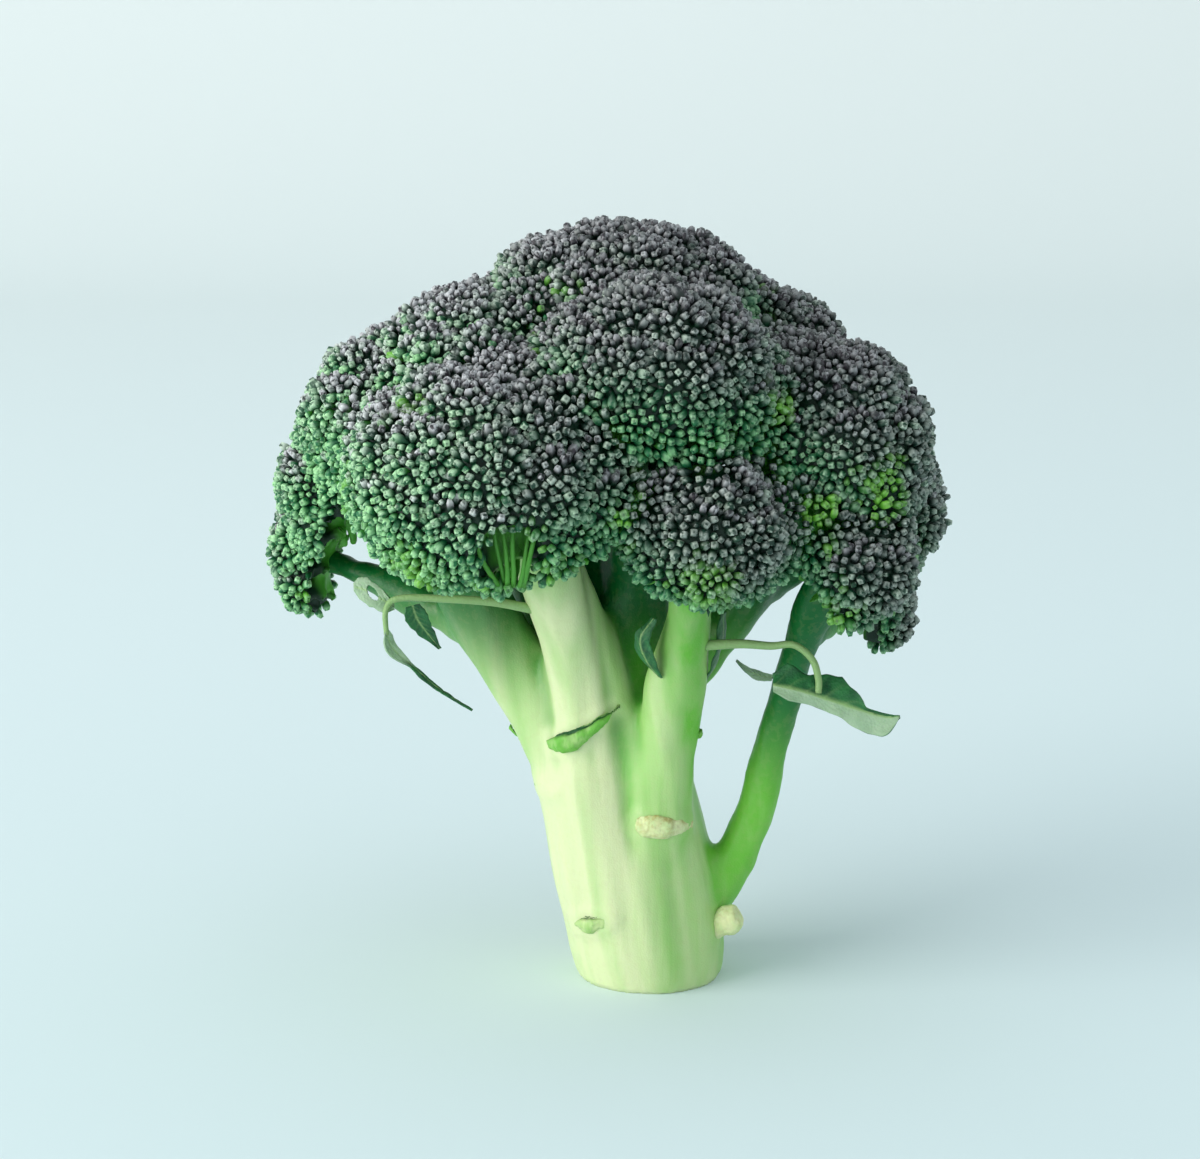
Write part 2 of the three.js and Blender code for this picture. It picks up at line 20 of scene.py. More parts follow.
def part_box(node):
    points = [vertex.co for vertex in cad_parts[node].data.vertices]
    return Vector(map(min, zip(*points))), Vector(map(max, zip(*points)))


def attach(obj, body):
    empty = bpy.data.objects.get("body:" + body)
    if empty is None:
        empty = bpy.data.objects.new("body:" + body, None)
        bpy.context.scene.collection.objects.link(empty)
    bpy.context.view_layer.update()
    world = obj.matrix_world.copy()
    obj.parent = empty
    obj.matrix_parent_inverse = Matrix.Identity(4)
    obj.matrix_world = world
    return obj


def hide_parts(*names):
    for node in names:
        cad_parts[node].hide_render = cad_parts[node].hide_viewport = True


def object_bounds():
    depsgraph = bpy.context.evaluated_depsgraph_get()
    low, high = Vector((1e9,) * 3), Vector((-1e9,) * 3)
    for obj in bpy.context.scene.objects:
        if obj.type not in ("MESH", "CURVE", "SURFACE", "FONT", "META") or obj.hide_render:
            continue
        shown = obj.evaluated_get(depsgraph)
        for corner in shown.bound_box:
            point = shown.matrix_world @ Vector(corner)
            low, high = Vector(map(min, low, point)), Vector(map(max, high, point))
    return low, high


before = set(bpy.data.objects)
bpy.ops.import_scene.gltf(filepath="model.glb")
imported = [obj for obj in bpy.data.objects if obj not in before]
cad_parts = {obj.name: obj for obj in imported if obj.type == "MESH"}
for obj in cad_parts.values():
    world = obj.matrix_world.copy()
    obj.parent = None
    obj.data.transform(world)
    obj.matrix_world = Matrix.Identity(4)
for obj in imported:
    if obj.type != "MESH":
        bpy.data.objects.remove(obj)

MM = 0.001
cad_low, cad_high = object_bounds()
cad_middle = (cad_low + cad_high) / 2
cad_size = cad_high - cad_low
print("solid model, mm:", [round(side / MM, 1) for side in cad_size])

# %% [markdown]
# ## Camera
#
# A still life of a vegetable is taken from a little above, from far enough away that the crown doesn't
# look swollen. A long lens at 65 cm does that. The camera aims a little above the middle of the head.

# %% Camera
CAMERA_DISTANCE = 0.650
CAMERA_ELEVATION = math.radians(11)
CAMERA_LENS = 86.8
AIM_OFFSET = Vector((-1.0, 0.6, 5.7)) * MM

aim = cad_middle + AIM_OFFSET
backward = Vector((0, -math.cos(CAMERA_ELEVATION), math.sin(CAMERA_ELEVATION)))
camera = bpy.data.objects.new("camera", bpy.data.cameras.new("camera"))
camera.data.lens = CAMERA_LENS
camera.location = aim + backward * CAMERA_DISTANCE
camera.rotation_euler = (-backward).to_track_quat("-Z", "Y").to_euler()
bpy.context.scene.collection.objects.link(camera)
bpy.context.scene.camera = camera
print("camera at, mm:", [round(value / MM) for value in camera.location])

# %% [markdown]
# ## Floor and light
#
# The floor is one pale sheet that curves up far behind the head, so that no edge or horizon shows from
# the front. Three soft square lamps look at the head. The strong one stands low on the left, like a
# window: it reaches under the crown, lights the stalk and models every bud. Two weak ones, overhead and
# at the front right, and the pale sky of the studio fill the shadows with a cool tint. The plain display
# transform keeps the pale floor pale.

# %% Floor
# The floor is painted darker and bluer near the head and paler far behind it: painted shading that stands in
# for the fall of the studio light across the sheet.
FLOOR_NEAR_SHADED, FLOOR_FAR_LIT = (0.71, 0.84, 0.87, 1), (0.87, 0.915, 0.905, 1)


def make_floor():
    """A sheet that lies flat round the head and bends up behind it."""
    near, flat, bend, tall, half_width = -2.0, 1.6, 0.8, 2.4, 3.0
    profile = [(near, 0.0), (flat, 0.0)]
    for step in range(1, 13):
        angle = math.radians(90) * step / 12
        profile.append((flat + bend * math.sin(angle), bend * (1 - math.cos(angle))))
    profile.append((flat + bend, tall))
    corners = [(side * half_width, y, z) for y, z in profile for side in (-1, 1)]
    faces = [(2 * i, 2 * i + 1, 2 * i + 3, 2 * i + 2) for i in range(len(profile) - 1)]
    mesh = bpy.data.meshes.new("floor")
    mesh.from_pydata(corners, [], faces)
    mesh.shade_smooth()
    floor = bpy.data.objects.new("floor", mesh)
    bpy.context.scene.collection.objects.link(floor)
    material = bpy.data.materials.new("pale_floor")
    material.use_nodes = True
    tree = material.node_tree
    shader = tree.nodes["Principled BSDF"]
    shader.inputs["Roughness"].default_value = 0.9
    shader.inputs["Specular IOR Level"].default_value = 0.1
    place = tree.nodes.new("ShaderNodeTexCoord")
    split = tree.nodes.new("ShaderNodeSeparateXYZ")
    fade = tree.nodes.new("ShaderNodeMapRange")
    fade.inputs["From Min"].default_value = -0.3
    fade.inputs["From Max"].default_value = flat + bend
    tint = tree.nodes.new("ShaderNodeMix")
    tint.data_type = "RGBA"
    tint.inputs[6].default_value = FLOOR_NEAR_SHADED
    tint.inputs[7].default_value = FLOOR_FAR_LIT
    tree.links.new(place.outputs["Object"], split.inputs[0])
    tree.links.new(split.outputs["Y"], fade.inputs["Value"])
    tree.links.new(fade.outputs[0], tint.inputs[0])
    tree.links.new(tint.outputs[2], shader.inputs["Base Color"])
    mesh.materials.append(material)


make_floor()

# %% Light
LAMPS = (  # name, place from the middle of the head and side, both in metres, power and tint
    ("key_lamp", (-2.1, -1.1, 0.68), 2.0, 60.0, (1.0, 0.99, 0.95)),
    ("top_lamp", (-0.5, -0.3, 2.6), 2.5, 4.0, (0.97, 1.0, 1.0)),
    ("fill_lamp", (1.6, -1.8, 0.6), 1.6, 2.0, (0.92, 1.0, 1.0)),
)
SKY_TINT, SKY_STRENGTH = (0.88, 0.97, 1.0, 1), 0.71


def soft_lamp(name, place, size, power, tint):
    """A square lamp that looks at the middle of the head."""
    lamp = bpy.data.lights.new(name, "AREA")
    lamp.shape = "SQUARE"
    lamp.size = size
    lamp.energy = power
    lamp.color = tint
    holder = bpy.data.objects.new(name, lamp)
    holder.location = cad_middle + Vector(place)
    holder.rotation_euler = (-Vector(place)).to_track_quat("-Z", "Y").to_euler()
    bpy.context.scene.collection.objects.link(holder)


for lamp in LAMPS:
    soft_lamp(*lamp)

world = bpy.data.worlds.new("studio")
world.use_nodes = True
world.node_tree.nodes["Background"].inputs["Color"].default_value = SKY_TINT
world.node_tree.nodes["Background"].inputs["Strength"].default_value = SKY_STRENGTH
bpy.context.scene.world = world
bpy.context.scene.view_settings.view_transform = "Standard"

# %% [markdown]
# ## Tools for closed skins
#
# A plant has no sharp joints, so its surface is made as one closed skin round several solids. Blender's
# voxel remesh wraps such a skin, and a few short numpy helpers then smooth and shape it: they work on
# plain arrays of corners and faces, which is quick for a hundred thousand points.

# %% Corners and faces of the frame's nodes
def cad_mesh(name):
    """A node's corners and triangles, with the corners that its faces share merged."""
    work = bmesh.new()
    work.from_mesh(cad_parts[name].data)
    bmesh.ops.remove_doubles(work, verts=work.verts, dist=1e-6)
    bmesh.ops.triangulate(work, faces=work.faces)
    corners = np.array([corner.co for corner in work.verts])
    faces = np.array([[corner.index for corner in face.verts] for face in work.faces])
    work.free()
    return corners, faces


def face_normals(corners, faces):
    """Normals as long as twice the area of each triangle or quad."""
    spot = corners[faces]
    if faces.shape[1] == 3:
        return np.cross(spot[:, 1] - spot[:, 0], spot[:, 2] - spot[:, 0])
    return np.cross(spot[:, 2] - spot[:, 0], spot[:, 3] - spot[:, 1])


def gathered(indices, values, count):
    """Sums the rows of values that go to each index."""
    return np.stack([np.bincount(indices, values[:, k], count) for k in range(values.shape[1])], 1)


def unit(vectors):
    """The same directions, each 1 long."""
    return vectors / np.maximum(np.linalg.norm(vectors, axis=-1, keepdims=True), 1e-12)


def corner_normals(corners, faces):
    """Unit normals at the corners, each face counted by its area."""
    per_corner = np.repeat(face_normals(corners, faces), faces.shape[1], axis=0)
    return unit(gathered(faces.ravel(), per_corner, len(corners)))


def grown(corners, faces, distance):
    """The same solid, thicker by a distance all round."""
    return corners + corner_normals(corners, faces) * distance, faces


# %% A skin round several solids, and its smoothing
def joined(solids):
    """Several (corners, faces) pairs as one."""
    starts = np.cumsum([0] + [len(corners) for corners, _ in solids])
    corners = np.concatenate([corners for corners, _ in solids])
    return corners, np.concatenate([faces + start for (_, faces), start in zip(solids, starts)])


def skin_round(solids, voxel):
    """One closed skin of quads that wraps all the solids."""
    corners, faces = joined(solids)
    mesh = bpy.data.meshes.new("skin")
    mesh.from_pydata(corners, [], faces)
    holder = bpy.data.objects.new("skin", mesh)
    bpy.context.scene.collection.objects.link(holder)
    remesh = holder.modifiers.new("wrap", "REMESH")
    remesh.mode = "VOXEL"
    remesh.voxel_size = voxel
    wrapped = holder.evaluated_get(bpy.context.evaluated_depsgraph_get()).to_mesh()
    new_corners = np.empty(len(wrapped.vertices) * 3)
    wrapped.vertices.foreach_get("co", new_corners)
    new_faces = np.empty(len(wrapped.loops), np.int64)
    wrapped.loops.foreach_get("vertex_index", new_faces)
    bpy.data.objects.remove(holder)
    bpy.data.meshes.remove(mesh)
    return new_corners.reshape(-1, 3), new_faces.reshape(-1, 4)


def halved(faces):
    """Quads as two triangles each."""
    return np.concatenate([faces[:, [0, 1, 2]], faces[:, [0, 2, 3]]])


def edges_of(faces):
    """Each pair of neighbouring corners, in both directions."""
    ends = np.stack([faces, np.roll(faces, -1, axis=1)], 2).reshape(-1, 2)
    return np.concatenate([ends, ends[:, ::-1]])


def neighbour_mean(values, edges):
    """The mean of the values at the neighbours of each corner."""
    count = len(values)
    degree = np.bincount(edges[:, 0], minlength=count)
    return gathered(edges[:, 0], values[edges[:, 1]], count) / degree[:, None]


def smoothed(corners, faces, rounds, hollow=0.6, ridge=0.6):
    """Pulls corners to their neighbours' mean: by hollow in a crease, and by ridge on a bulge."""
    edges = edges_of(faces)
    for _ in range(rounds):
        pull = neighbour_mean(corners, edges) - corners
        outward = (pull * corner_normals(corners, faces)).sum(1, keepdims=True) > 0
        corners = corners + pull * np.where(outward, hollow, ridge)
    return corners


def hollowness(corners, faces, rounds, reach):
    """0 on flat and bulging skin, to 1 where the skin lies that far below its surroundings."""
    soft = smoothed(corners, faces, rounds)
    depth = ((soft - corners) * corner_normals(corners, faces)).sum(1)
    return np.clip(depth / reach, 0, 1)


# %% Noise, eases and the making of an object
def noise_over(points, grain, seed=0.0):
    """Smooth noise from -1 to 1 at each point. grain is its size in metres, or one size per axis."""
    places = points / np.broadcast_to(grain, 3) + seed
    return np.array([noise.noise(Vector(place)) for place in places])


def ease(values, start, end):
    """0 before start, 1 past end and smooth between."""
    share = np.clip((values - start) / (end - start), 0, 1)
    return share * share * (3 - 2 * share)


def make_object(name, corners, faces, materials, values=None, slots=None):
    """A smooth shaded mesh object with one float attribute for each entry of values."""
    mesh = bpy.data.meshes.new(name)
    mesh.from_pydata(corners, [], faces)
    for key, numbers in (values or {}).items():
        attribute = mesh.attributes.new(key, "FLOAT", "POINT")
        attribute.data.foreach_set("value", np.asarray(numbers, np.float32))
    for material in materials:
        mesh.materials.append(material)
    if slots is not None:
        mesh.polygons.foreach_set("material_index", np.asarray(slots, np.int32))
    mesh.shade_smooth()
    holder = bpy.data.objects.new(name, mesh)
    bpy.context.scene.collection.objects.link(holder)
    return holder


# %% [markdown]
# ## Tools for finishes
#
# Plant skin is never one colour. Long fibres show through the stalk, a grey wax bloom lies on buds and
# leaves, and fine cells break up every highlight. Each of these is used by more than one finish, so each
# is a node group with its own inputs: it puts out a mask or a height, and the finish decides what that
# means.

# %% Shader nodes and groups
def add_node(tree, kind, inputs=None, **settings):
    """Adds a shader node. Each input takes a value or another node's output."""
    made = tree.nodes.new(kind)
    for key, value in settings.items():
        setattr(made, key, value)
    for key, value in (inputs or {}).items():
        if isinstance(value, bpy.types.NodeSocket):
            tree.links.new(value, made.inputs[key])
        else:
            made.inputs[key].default_value = value
    return made


def new_group(name, inputs, output):
    """A node group with float inputs and one float output, and its inner ends."""
    tree = bpy.data.node_groups.new(name, "ShaderNodeTree")
    for key, value in inputs.items():
        socket = tree.interface.new_socket(key, in_out="INPUT", socket_type="NodeSocketFloat")
        socket.default_value = value
    tree.interface.new_socket(output, in_out="OUTPUT", socket_type="NodeSocketFloat")
    return tree, tree.nodes.new("NodeGroupInput"), tree.nodes.new("NodeGroupOutput")


def make_fibres():
    """Streaks that run up the plant: noise drawn out along the height."""
    tree, given, result = new_group("plant_fibres", {"Fineness": 400.0, "Length": 12.0}, "Streak")
    place = add_node(tree, "ShaderNodeTexCoord").outputs["Object"]
    split = add_node(tree, "ShaderNodeSeparateXYZ", {"Vector": place})
    height, length = split.outputs["Z"], given.outputs["Length"]
    drawn = add_node(tree, "ShaderNodeMath", {0: height, 1: length}, operation="DIVIDE")
    along = {"X": split.outputs["X"], "Y": split.outputs["Y"], "Z": drawn.outputs[0]}
    stretched = add_node(tree, "ShaderNodeCombineXYZ", along)
    streak = add_node(
        tree,
        "ShaderNodeTexNoise",
        {"Vector": stretched.outputs[0], "Scale": given.outputs["Fineness"], "Detail": 3.0},
    )
    tree.links.new(streak.outputs["Fac"], result.inputs["Streak"])
    return tree


def make_mottle():
    """Soft blotches, sharpened by Contrast about their middle."""
    tree, given, result = new_group("plant_mottle", {"Scale": 120.0, "Contrast": 1.5}, "Blotch")
    place = add_node(tree, "ShaderNodeTexCoord").outputs["Object"]
    blotch = add_node(
        tree, "ShaderNodeTexNoise", {"Vector": place, "Scale": given.outputs["Scale"], "Detail": 4.0}
    )
    centred = add_node(tree, "ShaderNodeMath", {0: blotch.outputs["Fac"], 1: 0.5}, operation="SUBTRACT")
    sharper = add_node(
        tree, "ShaderNodeMath", {0: centred.outputs[0], 1: given.outputs["Contrast"]}, operation="MULTIPLY"
    )
    lifted = add_node(tree, "ShaderNodeMath", {0: sharper.outputs[0], 1: 0.5}, use_clamp=True)
    tree.links.new(lifted.outputs[0], result.inputs["Blotch"])
    return tree


def make_cells():
    """The fine pebbling of plant skin: the distance to the nearest cell's middle."""
    tree, given, result = new_group("plant_cells", {"Scale": 3000.0}, "Height")
    place = add_node(tree, "ShaderNodeTexCoord").outputs["Object"]
    cells = add_node(tree, "ShaderNodeTexVoronoi", {"Vector": place, "Scale": given.outputs["Scale"]})
    tree.links.new(cells.outputs["Distance"], result.inputs["Height"])
    return tree


fibres, mottle, cells = make_fibres(), make_mottle(), make_cells()


# %% Helpers that place a group, mix colours and read a painted value
def place_group(tree, group, inputs):
    """Places a node group with its inputs set, and gives its output."""
    made = add_node(tree, "ShaderNodeGroup", node_tree=group)
    for key, value in inputs.items():
        made.inputs[key].default_value = value
    return made.outputs[0]


def painted(tree, name):
    """The value that the mesh holds at each corner under a name."""
    return add_node(tree, "ShaderNodeAttribute", attribute_name=name).outputs["Fac"]


def mixed(tree, share, first, second):
    """A colour between two, by a share from 0 to 1."""
    made = add_node(tree, "ShaderNodeMix", data_type="RGBA", clamp_factor=True)
    for index, value in ((0, share), (6, first), (7, second)):
        if isinstance(value, bpy.types.NodeSocket):
            tree.links.new(value, made.inputs[index])
        else:
            made.inputs[index].default_value = value if index == 0 else (*value, 1)
    return made.outputs[2]


def scaled(tree, value, factor, lift=0.0):
    """value x factor + lift, kept from 0 to 1."""
    made = add_node(tree, "ShaderNodeMath", {0: value, 1: factor, 2: lift}, operation="MULTIPLY_ADD")
    made.use_clamp = True
    return made.outputs[0]


def product(tree, first, second):
    """One value times another."""
    return add_node(tree, "ShaderNodeMath", {0: first, 1: second}, operation="MULTIPLY").outputs[0]


def new_finish(name, roughness, waxiness=0.3, glow=0.0, glow_depth=(1.0, 1.0, 1.0)):
    """A material with its shader's plain values set. glow is light that passes under the skin."""
    material = bpy.data.materials.new(name)
    material.use_nodes = True
    shader = material.node_tree.nodes["Principled BSDF"]
    shader.inputs["Roughness"].default_value = roughness
    shader.inputs["Specular IOR Level"].default_value = waxiness
    shader.inputs["Subsurface Weight"].default_value = glow
    shader.inputs["Subsurface Radius"].default_value = glow_depth
    shader.inputs["Subsurface Scale"].default_value = MM
    return material, material.node_tree, shader


def wear(tree, shader, colour, height, depth, strength=1.0):
    """Links a colour and a bump of the given depth to a finish's shader."""
    bump = add_node(tree, "ShaderNodeBump", {"Height": height, "Distance": depth, "Strength": strength})
    tree.links.new(colour, shader.inputs["Base Color"])
    tree.links.new(bump.outputs["Normal"], shader.inputs["Normal"])


# %% [markdown]
# ## The stalk and its branches
#
# On the real head the stalk and the branches are one body of flesh: the branches leave it in smooth
# crotches, and ribs run down from each branch into the stalk. The frame's branches only butt against the
# stalk, so one skin is wrapped round all of them. It is then smoothed hard where it is hollow, which
# rounds out the crotches, and barely where it bulges, which keeps the branches at their thickness.

# %% Wrap the stalk and its branches
STEM_VOXEL = 0.8 * MM
STEM_GROWTH = 0.3 * MM
CROTCH_ROUNDS = 50

stem_nodes = ["stalk"] + sorted(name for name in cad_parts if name.startswith("branch"))
floret_nodes = sorted(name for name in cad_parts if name.startswith("floret"))
stem_solids = {name: cad_mesh(name) for name in stem_nodes}

stem, stem_faces = skin_round([grown(*stem_solids[name], STEM_GROWTH) for name in stem_nodes], STEM_VOXEL)
stem = smoothed(stem, stem_faces, CROTCH_ROUNDS, hollow=0.6, ridge=0.08)
stem = smoothed(stem, stem_faces, 4)
print("stalk and branches:", len(stem_faces), "faces")

# %% [markdown]
# A smooth tube would look like rubber. The flesh is drawn out in ribs that run up from the foot, so the
# skin is pushed in and out by noise that is long in the stalk's direction and short across it. Last, the
# knife's cut is pressed flat again, with the slight dish that a drying cut face gets.

# %% Ribs, lumps and the cut foot
RIB_LENGTHENING = 8.0
RIBS = ((8.0, 1.2), (3.2, 0.35))  # grain and depth of each, in mm
FRONT_GROOVE = (0.6, 2.2, 1.5)  # its place across the front, half width and depth, in mm
GROOVE_SPAN = (26 * MM, 42 * MM)
LUMPS = (16.0, 0.5)
FOOT_FADE = (4 * MM, 22 * MM)
COLLAR_HEIGHT, COLLAR_REACH = 0.55 * MM, 1.6 * MM
DISH, DISH_SPAN = 0.5 * MM, (0.15, 0.85)  # its depth, and where it fades, from the middle out
FOOT_LEVEL, FOOT_FACING = 1.2 * MM, -0.75  # the cut is below the one and faces further down than the other
RIBS_AT_FOOT = 0.35

stalk_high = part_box("stalk")[1]
stalk_corners = stem_solids["stalk"][0]
top_ring = stalk_corners[stalk_corners[:, 2] > stalk_high.z - 0.5 * MM]
stalk_top = top_ring.mean(0)
foot_ring = stalk_corners[stalk_corners[:, 2] < 0.1 * MM]
foot_radius = np.abs(foot_ring[:, 0]).max()


def unleaned(points):
    """Points with the stalk's lean taken out, so that its ribs run straight up."""
    share = np.clip(points[:, 2] / stalk_top[2], 0, 1.6)[:, None]
    return points - np.array([stalk_top[0], stalk_top[1], 0]) * share


def rib_height(points):
    """How far the ribs and lumps stand out of the stalk, in metres."""
    upright = unleaned(points)
    lumpy = LUMPS[1] * noise_over(points, LUMPS[0] * MM, seed=31)
    for seed, (grain, depth) in enumerate(RIBS):
        size = np.array([grain, grain, grain * RIB_LENGTHENING]) * MM
        lumpy = lumpy + depth * noise_over(upright, size, seed=5 + seed)
    across = (upright[:, 0] / MM - FRONT_GROOVE[0]) / FRONT_GROOVE[1]
    front = ease(-upright[:, 1], 0, 8 * MM) * ease(points[:, 2], *GROOVE_SPAN)
    return (lumpy - FRONT_GROOVE[2] * np.exp(-(across**2)) * front) * MM


def swelling(points):
    """The collar that the stalk makes round each stub and scar, in metres."""
    corners, faces = joined([cad_mesh(name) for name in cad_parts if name.startswith(("stub", "scar"))])
    tree = BVHTree.FromPolygons(corners.tolist(), faces.tolist())
    found = [tree.find_nearest(Vector(point), 4 * COLLAR_REACH)[3] for point in points]
    gaps = np.array([9.0 if gap is None else gap for gap in found])
    return COLLAR_HEIGHT * np.exp(-((gaps / COLLAR_REACH) ** 2))


normals = corner_normals(stem, stem_faces)
rib_share = RIBS_AT_FOOT + (1 - RIBS_AT_FOOT) * ease(stem[:, 2], *FOOT_FADE)
rise = rib_height(stem) * rib_share + swelling(stem)
stem = stem + normals * rise[:, None]
under_foot = (stem[:, 2] < FOOT_LEVEL) & (normals[:, 2] < FOOT_FACING)
from_middle = np.hypot(stem[:, 0], stem[:, 1]) / foot_radius
stem[under_foot, 2] = DISH * (1 - ease(from_middle[under_foot], *DISH_SPAN))
stem[:, 2] = np.maximum(stem[:, 2], 0)

# %% [markdown]
# The flesh is cream where it is thick and old, at the foot, and turns green upwards. Each branch also has a
# tint of its own, softened where it leaves the stalk. Two values are painted on the corners. Greenness comes
# from the branch, the height and upright streaks, and from painted shade: the creases and the stalk's right
# side, away from the strong lamp, are painted greener. The second value is painted shade, a dark green laid
# in the creases and under the crown, more on some branches than on others, and the low branch on the right
# takes it lower down than the others.

# %% Paint the stalk
BRANCH_GREEN = {
    "stalk": 0.0,
    "branch_front_left": -0.03,
    "branch_front": 0.05,
    "branch_left": 0.3,
    "branch_right_low": 0.65,
    "branch_top": 0.8,
}
HIDDEN_BRANCH_GREEN = 0.6
OWN_ROUNDS = 40
# How much of the painted shade under the crown each branch takes; branches not listed take all of it.
BRANCH_SHADE = {"stalk": 0.3, "branch_front_left": 0.05, "branch_front": 0.15, "branch_left": 0.95}
GREEN_SPAN, SHADE_SPAN, CREASE_SPAN = (20 * MM, 110 * MM), (60 * MM, 92 * MM), (30 * MM, 70 * MM)
EARLY_SHADE, EARLY_DROP = "branch_right_low", 22 * MM
CREASE_SHADE_GREEN, HEIGHT_GREEN, STREAK_GREEN, COLUMN_GREEN, RIGHT_SHADE_GREEN = 0.9, 0.3, 0.14, 0.45, 0.5
CREASE_SHADE = 0.9


def nearest_owner(points, solids):
    """Which of the named solids is nearest to each point, as an index."""
    corners, faces = joined(list(solids.values()))
    owner = np.repeat(np.arange(len(solids)), [len(f) for _, f in solids.values()])
    tree = BVHTree.FromPolygons(corners.tolist(), faces.tolist())
    return owner[np.array([tree.find_nearest(Vector(point))[2] for point in points])]


def spread(values, faces, rounds):
    """Softens painted values over neighbouring corners."""
    edges = edges_of(faces)
    values = np.asarray(values, float)[:, None]
    for _ in range(rounds):
        values = neighbour_mean(values, edges)
    return values[:, 0]


owners = nearest_owner(stem, stem_solids)
own_green = np.array([BRANCH_GREEN.get(name, HIDDEN_BRANCH_GREEN) for name in stem_nodes])[owners]
own_green = spread(own_green, stem_faces, OWN_ROUNDS)
own_shade = np.array([BRANCH_SHADE.get(name, 1.0) for name in stem_nodes])[owners]
own_shade = spread(own_shade, stem_faces, OWN_ROUNDS)
early = spread(owners == list(stem_nodes).index(EARLY_SHADE), stem_faces, OWN_ROUNDS)
shade_level = stem[:, 2] + early * EARLY_DROP
# Painted shade: the creases are painted greener, and higher up dark green, as shade gathers in them.
crease_shade = spread(hollowness(stem, stem_faces, 40, 1.1 * MM), stem_faces, 2)
streaks = noise_over(unleaned(stem), np.array([2.2, 2.2, 30]) * MM, seed=77)
height = ease(stem[:, 2], *GREEN_SPAN)
columns = noise_over(unleaned(stem), np.array([5.0, 5.0, 150]) * MM, seed=52)
# Painted shade: the stalk's right side, away from the strong lamp, is painted greener than its lit left side.
shaded_right_side = ease(unleaned(stem)[:, 0] / foot_radius, -0.6, 0.8)
green = own_green + CREASE_SHADE_GREEN * crease_shade + HEIGHT_GREEN * height + STREAK_GREEN * streaks
green = green + COLUMN_GREEN * columns + RIGHT_SHADE_GREEN * shaded_right_side
# Painted shade: a dark green share that grows towards the crown, and in the creases higher up.
painted_shade = own_shade * ease(shade_level, *SHADE_SPAN) + CREASE_SHADE * crease_shade * ease(stem[:, 2], *CREASE_SPAN)
cut = spread(under_foot, stem_faces, 1)
print("greenness from", round(green.min(), 2), "to", round(green.max(), 2))

# %% [markdown]
# The finish mixes cream and green flesh by what was painted, and lays fibres, blotches and the dark green of
# the painted shade over them. The cut face shows a ring of pale bundles round a pith, made from the distance
# to the middle of the foot.

# %% Stalk finish
# The third colour is the dark green of the painted shade in the creases and under the crown.
CREAM, LEAF_GREEN, SHADE_GREEN = (0.68, 0.75, 0.43), (0.14, 0.52, 0.030), (0.001, 0.140, 0.026)
CUT_PALE, CUT_RING = (0.80, 0.84, 0.60), (0.52, 0.66, 0.30)
SCUFF = (0.50, 0.46, 0.22)
BUNDLE_RING, BUNDLE_WIDTH = 0.72, 0.1  # as shares of the foot's radius
RIND_SHARE, RIND_SPAN = 0.6, (0.93, 1.0)


def make_stalk_finish():
    """Cream or green by what is painted, dark green where shade is painted, with fibres, blotches and
    freckles.
    """
    material, tree, shader = new_finish("stalk_flesh", 0.42, 0.4, 0.18, (2.2, 3.2, 1.2))
    streak = place_group(tree, fibres, {"Fineness": 900.0, "Length": 14.0})
    blotch = place_group(tree, mottle, {"Scale": 160.0, "Contrast": 2.2})
    plain = painted(tree, "green")
    greenness = add_node(tree, "ShaderNodeMath", {0: plain, 1: scaled(tree, streak, 0.3, -0.15)})
    flesh = mixed(tree, greenness.outputs[0], CREAM, LEAF_GREEN)
    flesh = mixed(tree, scaled(tree, blotch, 0.12, 0.0), flesh, CREAM)
    flesh = mixed(tree, painted(tree, "painted_shade"), flesh, SHADE_GREEN)
    freckles = place_group(tree, mottle, {"Scale": 700.0, "Contrast": 9.0})
    flesh = mixed(tree, scaled(tree, freckles, 0.5, -0.44), flesh, SCUFF)
    ring = mixed(tree, painted(tree, "ring"), CUT_PALE, CUT_RING)
    flesh = mixed(tree, painted(tree, "cut"), flesh, ring)
    grain = place_group(tree, cells, {"Scale": 2600.0})
    height = add_node(tree, "ShaderNodeMath", {0: streak, 1: scaled(tree, grain, 0.35)})
    wear(tree, shader, flesh, height.outputs[0], 0.12 * MM, 0.8)
    return material


bundle_ring = np.exp(-(((from_middle - BUNDLE_RING) / BUNDLE_WIDTH) ** 2))
bundle_ring = bundle_ring + RIND_SHARE * ease(from_middle, *RIND_SPAN)
stalk_values = {"green": green, "painted_shade": painted_shade, "cut": cut, "ring": np.clip(bundle_ring, 0, 1)}
stalk_finish = make_stalk_finish()
stalk_piece = make_object("stalk_and_branches", stem, stem_faces, [stalk_finish], stalk_values)
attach(stalk_piece, "root")
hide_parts(*stem_nodes)

# %% [markdown]
# ## The crown's skin
#
# A floret is a tree in small: its stem forks again and again, and every last twig holds up a clump of
# buds. From outside that shows as lobes about as wide as a thumb, and clumps as wide as a pea, with
# furrows between. So the crown is wrapped in one skin, middles are scattered over it for lobes and for
# clumps, and the skin sinks where a point lies between two of them. To bridge the narrow gaps between
# florets, as buds do, the solids are grown before they are wrapped and the skin is moved back by as much.

# %% Wrap the crown
CROWN_VOXEL = 1.0 * MM
CROWN_GROWTH = 0.35 * MM
CROWN_CLOSING = 2.4 * MM  # gaps up to twice as wide are bridged
BUD_RIM = -0.42  # how far round to its underside a floret is covered, from -1 to 1


def solid_facts(name):
    """A floret's middle, its half size along each axis and the way that it faces."""
    low, high = (np.array(corner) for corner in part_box(name))
    middle = (low + high) / 2
    return {"middle": middle, "half": (high - low) / 2, "axis": unit(middle - stalk_top)}


def turned_out(points, facts):
    """1 where a floret's skin faces away from the stalk's top, to -1 where it faces it."""
    across = unit((points - facts["middle"]) / facts["half"])
    return across @ facts["axis"]


